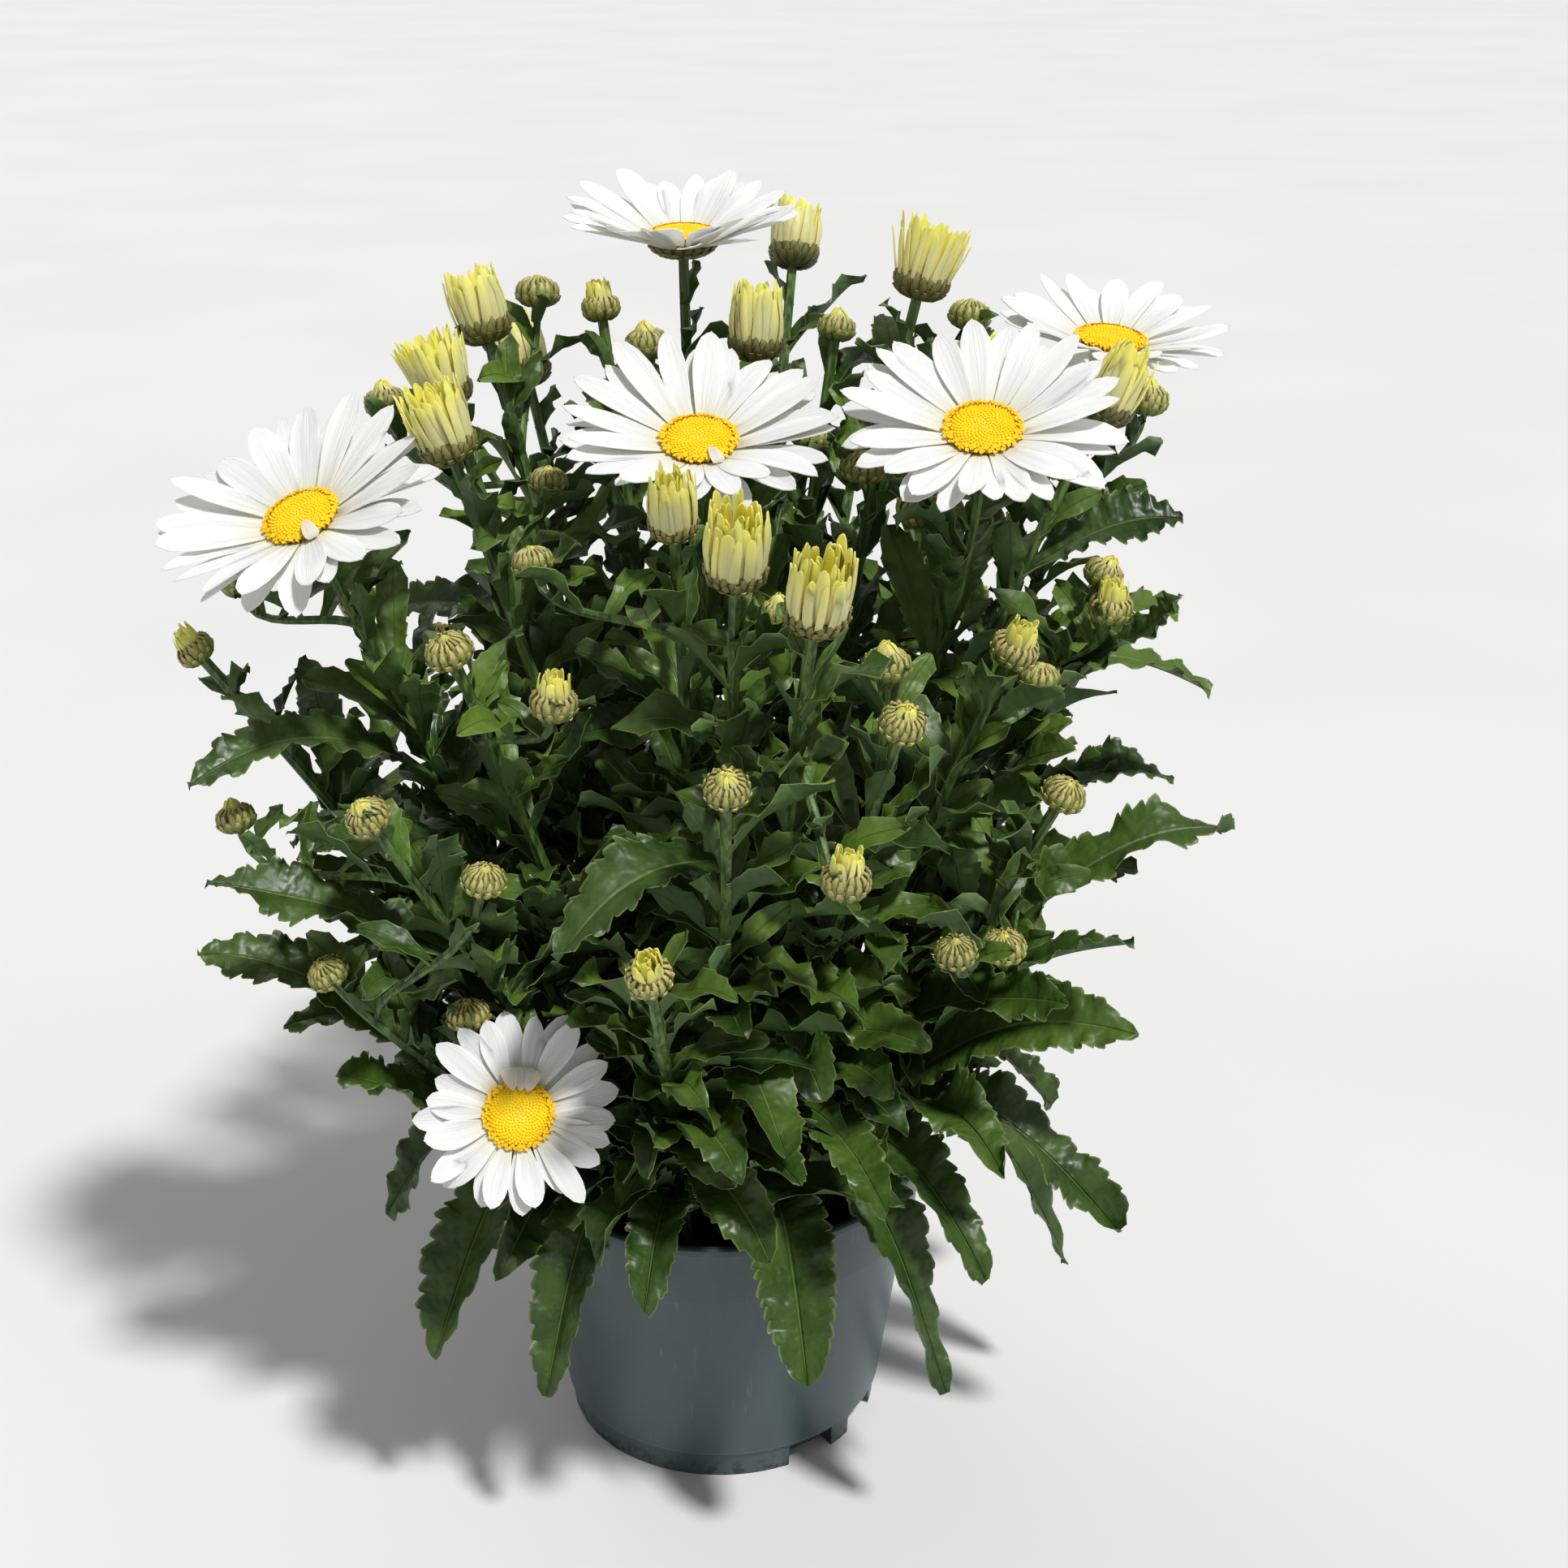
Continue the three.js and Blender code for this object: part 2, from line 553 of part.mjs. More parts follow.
// One blade: both faces are split into the same triangles and meet at the toothed edge.
function bladeSolid(leaf) {
  const rim = leaf.teeth ? [] : [[0.38, 1], [0.75, 1]];
  const first = leaf.teeth > 3 ? 0.34 : 0.22;
  for (let i = 0; i < leaf.teeth; i++) {
    const step = (0.97 - first) / (leaf.teeth + 0.35);
    rim.push([first + step * i, 0.86], [first + step * (i + 0.72), 1.1]);
  }
  const points = [leaf.sunkRoot(), leaf.at(1, 0)];
  const rib = [[0.25], [0.14, 0.55], [0.12, 0.4, 0.7]][Math.max(0, leaf.teeth - 2)].map((u) => ({
    u,
    top: points.push(leaf.at(u, 0, LEAF_THICKNESS * 0.6)) - 1,
    under: points.push(leaf.at(u, 0, -LEAF_THICKNESS * 0.6)) - 1,
  }));
  const [start, end] = [0, 1];
  rib.unshift({ u: 0, top: start, under: start });
  rib.push({ u: 1, top: end, under: end });
  const triangles = [];
  for (const hand of [1, -1]) {
    const edge = [{ u: 0, index: start }];
    for (const [u, v] of rim) edge.push({ u, index: points.push(leaf.at(u, hand * v)) - 1 });
    edge.push({ u: 1, index: end });
    const face = (a, b, c) => {
      if (a !== b && b !== c && c !== a) triangles.push(...(hand > 0 ? [a, b, c] : [a, c, b]));
    };
    let i = 0;
    let j = 0;
    while (i + 1 < edge.length || j + 1 < rib.length) {
      if (j + 1 >= rib.length || (i + 1 < edge.length && edge[i + 1].u <= rib[j + 1].u)) {
        face(edge[i].index, edge[i + 1].index, rib[j].top);
        face(edge[i + 1].index, edge[i].index, rib[j].under);
        i++;
      } else {
        face(edge[i].index, rib[j + 1].top, rib[j].top);
        face(rib[j + 1].under, edge[i].index, rib[j].under);
        j++;
      }
    }
  }
  return meshOf(points, triangles);
}

// A leafy stem: its stalk, branches, bud or cup, and leaves joined into one solid.
function stemSolid(stem) {
  const shares = Array.from({ length: STALK_STEPS + 1 }, (_, i) => i / STALK_STEPS);
  let made = solid(skin(stalkRings(stem.curve, STEM_RADIUS, shares, stem.head, stem.facing)));
  for (const b of stem.branches) {
    const first = 4 / b.curve.getLength();
    const branch = skin(stalkRings(b.curve, BRANCH_RADIUS, [first, 0.5, 1], "bud", b.facing), b.curve.v0);
    made = made.add(solid(branch));
  }
  for (const leaf of stem.leaves) made = made.add(solid(bladeSolid(leaf)));
  return made;
}

// The petals of a bloom: a star whose rays part at the ring round the disc, each with a ridged
// blade and a blunt tip. Every second petal lies lower, and their lengths differ a little.
function petalStar({ reach, cup, index }) {
  const chance = dice(index + 1);
  const points = [vec(0, 0, 0.6), vec(0, 0, -0.6)];
  const triangles = [];
  const rootRadius = DISC_RADIUS + 0.5;
  const step = (2 * Math.PI) / PETALS;
  const onRay = (a, r, side, lift, tilt) =>
    vec(r * Math.cos(a) - side * Math.sin(a), r * Math.sin(a) + side * Math.cos(a), lift + (r - rootRadius) * Math.tan(tilt));
  for (let i = 0; i < PETALS; i++)
    for (const half of [0.5, -0.5]) points.push(onRay(i * step, rootRadius, 0, half * PETAL_THICKNESS, 0));
  for (let i = 0; i < PETALS; i++) {
    const a = (i + 0.5) * step;
    const tilt = radians(cup + (i % 2 ? -5 : 5) + 7 * (chance() - 0.5));
    const r = reach * (0.93 + 0.07 * chance());
    const middle = 0.66 * r;
    const half = middle * Math.tan(step / 2) * 0.95;
    const [top, under, nextTop, nextUnder] = [0, 1, 2, 3].map((k) => 2 + ((2 * i + k) % (2 * PETALS)));
    const first = points.length;
    points.push(
      onRay(a, middle, 0, 0.45, tilt),
      onRay(a, middle, 0, -0.45, tilt),
      onRay(a, middle, -half, 0.5, tilt),
      onRay(a, middle, half, 0.5, tilt),
      onRay(a, r, -0.62 * half, 0, tilt),
      onRay(a, r, 0.62 * half, 0, tilt),
    );
    const [ridge, keel, left, right, tipLeft, tipRight] = [0, 1, 2, 3, 4, 5].map((k) => first + k);
    triangles.push(
      0, top, nextTop, top, ridge, nextTop, top, left, ridge, left, tipLeft, ridge,
      tipLeft, tipRight, ridge, tipRight, right, ridge, right, nextTop, ridge,
      1, nextUnder, under, under, nextUnder, keel, under, keel, left, left, keel, tipLeft,
      tipLeft, keel, tipRight, tipRight, keel, right, right, keel, nextUnder,
      top, under, left, nextTop, right, nextUnder,
    );
  }
  return meshOf(points, triangles);
}

// The disc: a low dome with a dimple, its florets raised by every second point of each ring.
function discDome() {
  const sides = 12;
  const profile = [[1, 0], [1, 0.4], [0.78, 0.86], [0.4, 1]];
  return skin(
    profile.map(([r, h], i) =>
      ring(vec(0, 0, h * DISC_HEIGHT), vec(0, 0, 1), r * DISC_RADIUS, sides).map((p, j) =>
        i > 1 ? p.multiplyScalar((i + j) % 2 ? 1.05 : 0.95) : p,
      ),
    ),
  );
}

// The cream petals of an opening bud: a sheaf that is fluted between its petals and ends in their points.
function tuftSheaf(seed) {
  const chance = dice(seed);
  const sides = 2 * TUFT_PETALS;
  const flute = (radius, height, depth) =>
    Array.from({ length: sides }, (_, j) => {
      const a = (2 * Math.PI * j) / sides;
      const r = radius * (j % 2 ? 1 : depth);
      return vec(r * Math.cos(a), r * Math.sin(a), height);
    });
  const tips = flute(9.4, TUFT_HEIGHT, 0.8);
  tips.forEach((p, j) => {
    p.z -= j % 2 ? 4 * chance() : 7.5;
  });
  return skin([flute(CUP_RADIUS * 0.84, 0, 0.95), tips, flute(4, TUFT_HEIGHT - 8, 1)]);
}

function placed(geometry, at, facing, lift) {
  const turn = new THREE.Quaternion().setFromUnitVectors(vec(0, 0, 1), facing);
  const mesh = new THREE.Mesh(geometry);
  mesh.quaternion.copy(turn);
  mesh.position.copy(at).addScaledVector(facing, lift);
  return mesh;
}

// The pot's wall, rim band and stepped underside in one turned profile, with drain notches cut at its foot.
function potGeometry() {
  const bandFoot = POT_HEIGHT - RIM_BAND;
  const profile = [
    [0, 0], [14, 0], [16, 3], [43, 3], [45, 0], [BASE_RADIUS, 0], [BASE_RADIUS + 0.6, FOOT_HEIGHT],
    [BASE_RADIUS + 2, FOOT_HEIGHT + 1.2], [RIM_RADIUS - 4.2, bandFoot], [RIM_RADIUS - 2, bandFoot + 1],
    [RIM_RADIUS, POT_HEIGHT - 1], [RIM_RADIUS - 0.8, POT_HEIGHT], [RIM_RADIUS - 2.2, POT_HEIGHT],
    [RIM_RADIUS - 4.2, bandFoot + 1], [RIM_RADIUS - 4.4 - WALL, bandFoot - 1], [BASE_RADIUS + 2 - WALL, FOOT_HEIGHT + 2],
    [BASE_RADIUS - WALL, 5], [0, 5],
  ].map(([r, z]) => new THREE.Vector2(r, z));
  const turnedProfile = new THREE.LatheGeometry(profile, POT_SIDES).rotateX(Math.PI / 2);
  let made = solid(turnedProfile);
  for (const heading of NOTCH_HEADINGS) {
    const notch = new THREE.BoxGeometry(14, NOTCH_WIDTH, NOTCH_HEIGHT + 2);
    notch.translate(BASE_RADIUS, 0, NOTCH_HEIGHT / 2 - 1).rotateZ(radians(heading));
    made = made.subtract(solid(notch));
  }
  return geometryOf(made);
}

// The soil: a plug that fills the pot, with a lumpy top and a plain hole for every stem.
function soilGeometry(stems) {
  const sides = 20;
  const up = vec(0, 0, 1);
  const rings = [
    ring(vec(0, 0, 5 + GAP), up, BASE_RADIUS - WALL - 1.5, sides),
    ring(vec(0, 0, SOIL_TOP - 12), up, RIM_RADIUS - 8.2, sides),
    ring(vec(0, 0, SOIL_TOP - 1), up, RIM_RADIUS - 6.9, sides),
    ring(vec(0, 0, SOIL_TOP), up, CROWN_LIMIT + 5, sides),
  ];
  rings[2].forEach((p, j) => {
    p.z += SOIL_LUMP * Math.sin(2.3 * j);
  });
  let made = solid(skin(rings));
  for (const s of stems) {
    const low = s.curve.getPoint(0);
    const axis = insideStalk(s.curve, 0.1).sub(low).normalize();
    const ends = [low.clone().addScaledVector(axis, -1), low.clone().addScaledVector(axis, STEM_DEPTH + 8)];
    made = made.subtract(solid(skin(ends.map((end) => ring(end, axis, STEM_RADIUS * Math.SQRT2 + 0.5, 4)))));
  }
  return geometryOf(made);
}

const materials = Object.fromEntries(
  Object.entries(colours).map(([name, color]) => [
    name,
    new THREE.MeshStandardMaterial({ name, color, roughness: name === "pot" ? 0.45 : 0.7, metalness: 0 }),
  ]),
);

const daisy = new THREE.Group();
function add(name, mesh, material) {
  mesh.name = name;
  mesh.material = materials[material];
  daisy.add(mesh);
}

const stems = layOut();
add("pot", new THREE.Mesh(potGeometry()), "pot");
add("soil", new THREE.Mesh(soilGeometry(stems)), "soil");
for (const s of stems) {
  const number = String(s.index + 1).padStart(2, "0");
  add(`stem_${number}`, new THREE.Mesh(geometryOf(stemSolid(s))), "leaf");
  if (s.head === "bloom") {
    add(`petals_${number}`, placed(petalStar(s), s.at, s.facing, RECEPTACLE_HEIGHT + 0.6 + GAP), "petal");
    add(`disc_${number}`, placed(discDome(), s.at, s.facing, RECEPTACLE_HEIGHT + 1.2 + 2 * GAP), "disc");
  }
  if (s.head === "tuft") add(`tuft_${number}`, placed(tuftSheaf(s.index + 1), s.at, s.facing, CUP_HEIGHT + GAP), "tuft");
}

export default daisy;
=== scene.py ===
import math

import bpy
import numpy as np
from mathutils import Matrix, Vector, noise


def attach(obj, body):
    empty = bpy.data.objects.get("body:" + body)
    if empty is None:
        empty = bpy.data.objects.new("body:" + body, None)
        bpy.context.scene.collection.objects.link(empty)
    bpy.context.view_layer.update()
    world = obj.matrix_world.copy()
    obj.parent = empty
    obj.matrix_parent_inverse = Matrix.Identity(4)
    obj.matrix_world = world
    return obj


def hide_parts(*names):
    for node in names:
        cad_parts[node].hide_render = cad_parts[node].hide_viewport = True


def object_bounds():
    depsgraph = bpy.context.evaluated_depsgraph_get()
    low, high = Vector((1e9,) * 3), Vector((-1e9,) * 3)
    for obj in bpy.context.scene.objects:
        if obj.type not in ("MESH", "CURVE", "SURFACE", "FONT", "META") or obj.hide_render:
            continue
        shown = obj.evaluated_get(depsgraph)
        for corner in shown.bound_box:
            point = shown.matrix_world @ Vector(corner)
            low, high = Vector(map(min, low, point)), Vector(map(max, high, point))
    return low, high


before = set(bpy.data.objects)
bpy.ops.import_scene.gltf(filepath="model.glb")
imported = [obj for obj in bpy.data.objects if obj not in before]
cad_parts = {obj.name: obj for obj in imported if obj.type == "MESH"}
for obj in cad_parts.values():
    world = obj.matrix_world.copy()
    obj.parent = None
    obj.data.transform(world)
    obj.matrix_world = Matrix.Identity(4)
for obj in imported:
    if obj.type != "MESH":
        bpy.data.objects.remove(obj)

# A potted shasta daisy in a grey nursery pot. The plant is laid out in millimetres by a seeded rule,
# the same one that made the solid stems, so that every leaf lies where its solid lies.
# Meshes are in metres, +Z up, with the middle of the pot's underside at the origin.
mm = 0.001
solidBox = [list(corner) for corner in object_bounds()]

growth = {
    "soilTop": 90, "stemDepth": 24,          # mm, where the soil ends and how deep a stem stands in it
    "crownShare": 0.25, "crownSpacing": 12, "crownLimit": 46, "crownRounds": 80,
    "stemRadius": 2.3, "branchRadius": 1.5, "stalkSteps": 4,
    "grain": 2.4, "clearance": 2, "ownReach": 22, "nearRoot": 9,
    "insideRim": 8, "aboveSoil": 3, "offPot": 4,  # mm, what a leaf keeps from the pot, the soil and the table
    "leafRadius": 0.55, "budRadius": 2, "headRadius": 1.2,  # how far round its points each holds its place
    "goldenTurn": 137.5, "stemTurn": 77,     # degrees from leaf to leaf, and from stem to stem
    "turns": (0, 40, -40, 80, -80, 120, -120, 160),  # degrees that a leaf may turn to find a free place
    "turnShortens": 400,                     # a turn of so many degrees would use up all of its length
    "neck": 3.6, "ripples": 2.2,             # a leaf's width at its root, and the waves along it
}


def named(columns, rows):  # a table's rows, with a name for each column
    return [dict(zip(columns.split(), row)) for row in rows]


# Every main stem: what it carries, where its head joins it, and the buds on its side branches.
# A bloom also says its petals' reach and rise, how far it leans from upright and to which heading.
stemTable = named("head at branches reach cup lean heading", [
    ("bloom", (-11, 72, 392), [], 39, 24, 5, -95),
    ("bloom", (-116, -43, 331), [(-144, -16, 304)], 43, 17, 28, -122),
    ("bloom", (-3, -25, 349), [(30, 8, 344)], 41, 17, 22, -88),
    ("bloom", (80, -31, 354), [(63, -14, 326)], 42, 15, 26, -95),
    ("bloom", (128, 58, 361), [], 38, 17, 10, -60),
    ("bloom", (-57, -95, 167), [(-72, -82, 190)], 31, 7, 59, -82),
    ("tuft", (-71, 32, 372), [(-57, 50, 380)]),
    ("tuft", (-80, 3, 358), [(-103, 25, 350)]),
    ("tuft", (-75, -30, 350), [(-50, -8, 334)]),
    ("tuft", (13, 24, 368), [(-21, 36, 366)]),
    ("tuft", (25, 122, 380), []),
    ("tuft", (63, 20, 388), [(80, 34, 376)]),
    ("tuft", (118, 2, 354), [(135, 20, 352)]),
    ("tuft", (-8, -82, 342), [(-50, -52, 322)]),
    ("tuft", (9, -99, 334), [(20, -66, 310)]),
    ("tuft", (30, -125, 331), [(38, -142, 262)]),
    ("bud", (-36, 46, 376), []),
    ("bud", (-153, -36, 290), []),
    ("bud", (86, -72, 302), [(97, -52, 286)]),
    ("bud", (38, 30, 373), [(46, 0, 336)]),
    ("bud", (-71, -78, 304), [(-42, -93, 293)]),
    ("bud", (-93, -98, 262), [(-143, -52, 241)]),
    ("bud", (-113, -76, 202), [(-62, -108, 247)]),
    ("bud", (-14, -136, 232), []),
    ("bud", (7, -134, 286), []),
    ("bud", (53, -113, 296), [(50, -100, 307)]),
    ("bud", (119, -10, 305), [(121, -24, 298)]),
    ("bud", (104, -58, 252), [(70, -116, 229), (86, -90, 217)]),
    ("tuft", (-66, 96, 344), [(-98, 82, 318)]),
    ("tuft", (88, 96, 338), [(112, 112, 306)]),
    ("bud", (-22, 138, 318), [(-8, 150, 282)]),
    ("bud", (48, 146, 300), []),
    ("bud", (-122, 62, 272), [(-104, 104, 246)]),
    ("bud", (134, 66, 268), [(96, 138, 244)]),
])

# Long leaves with a place of their own: the stem, the share of its height they leave it at,
# where the tip is, how wide they are, and how steeply they rise at first.
longLeaves = named("stem from tip width rise", [
    (1, 0.62, (-152, -70, 262), 19, 45),
    (21, 0.68, (-150, -78, 238), 18, 25),
    (22, 0.6, (-157, -62, 199), 20, 45),
    (22, 0.4, (-112, -82, 175), 18, 30),
    (17, 0.28, (-134, -58, 176), 19, 45),
    (12, 0.6, (162, -12, 260), 21, 48),
    (27, 0.55, (166, -22, 229), 23, 45),
    (26, 0.4, (131, -42, 209), 21, 52),
    (27, 0.4, (127, -72, 213), 21, 50),
    (27, 0.26, (132, -62, 176), 25, 55),
    (18, 0.3, (110, -92, 205), 19, 45),
    (12, 0.8, (146, -12, 322), 19, 30),
    (26, 0.86, (141, -32, 309), 14, 15),
    (15, 0.62, (-40, -132, 237), 23, 32),
    (23, 0.3, (27, -124, 160), 24, 52),
    (21, 0.45, (-128, -52, 216), 18, 48),
    (25, 0.2, (52, -122, 150), 20, 58),
    (17, 0.62, (-140, 2, 212), 18, 45),
    (1, 0.5, (-118, -66, 240), 18, 45),
    (4, 0.62, (152, 30, 282), 19, 45),
    (33, 0.6, (154, 28, 224), 20, 48),
    (32, 0.55, (-140, 34, 196), 20, 48),
    (28, 0.6, (-122, 92, 262), 17, 40),
])

# Leaves from the foot of a stem that arch over the pot's rim.
basalLeaves = named("stem tip width rise", [
    (27, (131, -56, 99), 22, 52),
    (26, (104, -76, 142), 20, 42),
    (12, (117, -32, 56), 20, 58),
    (18, (92, -84, 104), 21, 52),
    (25, (74, -96, 66), 18, 58),
    (15, (48, -104, 80), 27, 58),
    (24, (0, -108, 78), 23, 66),
    (23, (-20, -112, 108), 19, 58),
    (5, (-44, -102, 66), 22, 40),
    (22, (-90, -86, 72), 25, 60),
    (17, (-112, -34, 92), 22, 52),
    (32, (-106, 30, 84), 23, 52),
    (28, (-84, 74, 92), 24, 52),
    (30, (-40, 112, 84), 22, 52),
    (10, (8, 112, 70), 24, 52),
    (31, (52, 108, 88), 22, 52),
    (29, (92, 78, 80), 24, 52),
    (33, (120, 34, 94), 22, 52),
])

# What the leaves of these two tables have in common: the share of each turn that they take to find room,
# how far they twist, wave at the edges and fold up, where they are widest, and how blunt they are.
placedLeaves = {
    "basal": {"rows": basalLeaves, "seed": 500, "swing": 1,
              "twist": 50, "wave": 1.6, "fold": 14, "belly": 0.66, "point": 0.5},
    "long": {"rows": longLeaves, "seed": 700, "swing": 0.6,
             "twist": 60, "wave": 1.4, "fold": 16, "belly": 0.55, "point": 0.7},
}

# The leaves that follow one another up every stem, from the lowest to the highest: how steeply they
# rise at first and fall at the end, where they are widest, and how blunt they are.
stemLeaves = {
    "count": 6, "from": 0.18, "to": 0.95, "long": 88, "short": 32, "wide": 24, "narrow": 12,
    "rise": (42, 62), "fall": (-25, 10), "belly": 0.45, "point": 0.75,
    "turns": (0, 25, -25, 50, -50, 75, -75, 100, -100, 130, -130, 180),
}

# More leaves that fill the plant between those, closer to one another: long low ones that arch over,
# upright ones in the middle, small ones up to the heads, and the few along each side branch.
fillLeaves = named("count from to long short wide narrow rise fall belly point clearance lowest twist", [
    (9, 0.1, 0.5, 92, 62, 23, 18, (34, 52), (-75, -30), 0.6, 0.5, 0.4, 112),
    (9, 0.22, 0.8, 80, 46, 19, 12, (52, 70), (0, 45), 0.62, 0.5, 0.4),
    (9, 0.14, 0.72, 62, 36, 18, 11, (25, 55), (-45, 0), 0.58, 0.55, 0.4, 120),
    (12, 0.4, 0.97, 44, 18, 12, 6, (45, 64), (0, 45), 0.55, 0.5, 0.3, 0, 240),
])
branchLeaves = {
    "count": 5, "from": 0.2, "to": 0.97, "long": 36, "short": 13, "wide": 11, "narrow": 4.5,
    "rise": (45, 64), "fall": (0, 40), "belly": 0.55, "point": 0.5, "twist": 240, "clearance": 0.3,
    "turns": (0, 60, -60, 120, -120, 180),
}


def dice(seed):  # seeded random numbers from 0 to 1, the same in every run
    prime = 2147483647
    state = [(seed * 7919 + 12345) % prime]

    def roll():
        state[0] = state[0] * 16807 % prime
        return state[0] / prime
    return roll


def mix(low, high, share):
    return low + (high - low) * share


def smooth(x):
    return x * x * (3 - 2 * x)


def leaning(lean, heading):  # a unit vector so many degrees from upright, to a heading from +X
    out = math.sin(math.radians(lean))
    turn = math.radians(heading)
    return np.array([out * math.cos(turn), out * math.sin(turn), math.cos(math.radians(lean))])


def onCurve(curve, t):  # points at shares of a cubic curve with four control points
    t = np.asarray(t, float)[..., None]
    k = 1 - t
    return k**3 * curve[0] + 3 * k * k * t * curve[1] + 3 * k * t * t * curve[2] + t**3 * curve[3]


def headingOf(curve, t):
    ahead = onCurve(curve, min(t + 0.0001, 1)) - onCurve(curve, max(t - 0.0001, 0))
    return ahead / np.linalg.norm(ahead)


def lengthOf(curve):
    return np.linalg.norm(np.diff(onCurve(curve, np.linspace(0, 1, 201)), axis=0), axis=1).sum()


def insideStalk(curve, t):  # the middle of the solid stalk, which runs straight between its rings
    steps = growth["stalkSteps"]
    step = min(steps - 1, int(t * steps))
    return mix(onCurve(curve, step / steps), onCurve(curve, (step + 1) / steps), t * steps - step)


def shareAt(curve, z):  # the share of a rising curve at which it reaches a height
    low, high = 0, 1
    for _ in range(24):
        middle = (low + high) / 2
        if onCurve(curve, middle)[2] < z:
            low = middle
        else:
            high = middle
    return low


def turnTo(facing):  # the rotation that takes +Z to a direction by the shortest way
    x, y, z = facing
    k = 1 / (1 + z)
    return np.array([[1 - x * x * k, -x * y * k, x], [-x * y * k, 1 - y * y * k, y], [-x, -y, z]])


def turnedAbout(point, degrees):  # a point turned about the plant's upright axis
    turn = math.radians(degrees)
    x, y, z = point
    return np.array([x * math.cos(turn) - y * math.sin(turn), x * math.sin(turn) + y * math.cos(turn), z])


def growLeaf(root, rise, looks, tip=None, fallTo=0, heading=0, length=0):
    # A leaf's midrib is one arc from root by knee to tip, in the upright plane of its heading.
    if tip is not None:
        reach = tip - root
        heading = math.degrees(math.atan2(reach[1], reach[0]))
        length = float(np.linalg.norm(reach))
        knee = root + leaning(90 - rise, heading) * length * 0.55
    else:
        knee = root + leaning(90 - rise, heading) * length * 0.5
        tip = knee + leaning(90 - fallTo, heading) * length * 0.5
    turn = math.radians(heading)
    across = np.array([math.sin(turn), -math.cos(turn), 0])
    return dict(looks, root=root, knee=knee, tip=tip, length=length, across=across)


def halfWidth(leaf, u):
    swell = leaf["neck"] + (1 - leaf["neck"]) * smooth(np.minimum(u / leaf["belly"], 1))
    past = np.maximum(0, (u - leaf["belly"]) / (1 - leaf["belly"]))
    return leaf["width"] / 2 * swell * np.maximum(0, 1 - past * past) ** leaf["point"]


def onLeaf(leaf, u, v, lift=0):  # points at u along the midrib, v from -1 to 1 across, lift above
    root, knee, tip, across = leaf["root"], leaf["knee"], leaf["tip"], leaf["across"]
    w = u[:, None]
    midrib = (1 - w) ** 2 * root + 2 * w * (1 - w) * knee + w * w * tip
    ahead = (knee - root) * (1 - w) + (tip - knee) * w
    ahead /= np.linalg.norm(ahead, axis=1)[:, None]
    normal = np.cross(across, ahead)
    normal /= np.linalg.norm(normal, axis=1)[:, None]
    turn = math.radians(leaf["twist"]) * w
    side = across * np.cos(turn) + normal * np.sin(turn)
    up = normal * np.cos(turn) - across * np.sin(turn)
    half = halfWidth(leaf, u)
    fold = math.radians(leaf["fold"])
    phase = growth["ripples"] * u + leaf["phase"]
    ripple = leaf["wave"] * np.sin(2 * math.pi * phase) * v * np.minimum(1, 3 * u)
    rise = np.abs(v) * half * math.sin(fold) + ripple + lift
    return midrib + side * (v * half * math.cos(fold))[:, None] + up * rise[:, None]


def coverOf(leaf):  # points all over the blade, close enough together that nothing slips between
    rows = math.ceil(leaf["length"] / growth["grain"])
    us, vs = [], []
    for i in range(1, rows + 1):
        columns = math.ceil(2 * float(halfWidth(leaf, np.array([i / rows]))[0]) / growth["grain"]) + 1
        us += [i / rows] * (columns + 1)
        vs += [-1 + 2 * j / columns for j in range(columns + 1)]
    return onLeaf(leaf, np.array(us), np.array(vs))


# What has been placed so far: points, each with its radius and the stem that owns it.
crowd = {"points": np.empty((0, 3)), "radius": np.empty(0), "owner": np.empty(0, int)}


def hold(points, radius, owner):
    crowd["points"] = np.vstack([crowd["points"], points])
    crowd["radius"] = np.append(crowd["radius"], np.full(len(points), float(radius)))
    crowd["owner"] = np.append(crowd["owner"], np.full(len(points), owner))


def isClear(points, owner, root, clearance, lowest):  # of the table, the pot and all that is held
    fromRoot = np.linalg.norm(points - root, axis=1)
    out = np.hypot(points[:, 0], points[:, 1])
    top = growth["aboveSoil"] + np.where(
        out < pot["rimRadius"] - growth["insideRim"], growth["soilTop"], pot["height"])
    if (points < np.array(solidBox[0]) / mm - 1).any() or (points > np.array(solidBox[1]) / mm + 1).any():
        return False
    if (points[:, 2] < lowest).any():
        return False
    offPot = growth["offPot"]
    inPot = (points[:, 2] < offPot) | ((out < pot["rimRadius"] + offPot) & (points[:, 2] < top))
    if (inPot & (fromRoot > growth["nearRoot"])).any():
        return False
    held = crowd["points"]
    near = ((held > points.min(0) - 5) & (held < points.max(0) + 5)).all(1)
    held, radius, own = held[near], crowd["radius"][near] + clearance, crowd["owner"][near] == owner
    middle = points.mean(0)
    held = held - middle
    for few in (slice(None, None, 5), slice(None)):  # a coarse look first, then all the points
        some = points[few] - middle
        apart = (some * some).sum(1)[:, None] + (held * held).sum(1)[None] - 2 * some @ held.T
        free = own[None] & (fromRoot[few] < growth["ownReach"])[:, None]
        if ((apart < (radius * radius)[None]) & ~free).any():
            return False
    return True


def settle(stem, make, turns, clearance, lowest=0):  # puts a leaf where it is clear, small turns first
    for turn in turns:
        leaf = make(turn)
        points = coverOf(leaf)
        if isClear(points, stem["index"], leaf["root"], clearance, lowest):
            hold(points, growth["leafRadius"], stem["index"])
            stem["leaves"].append(leaf)
            return


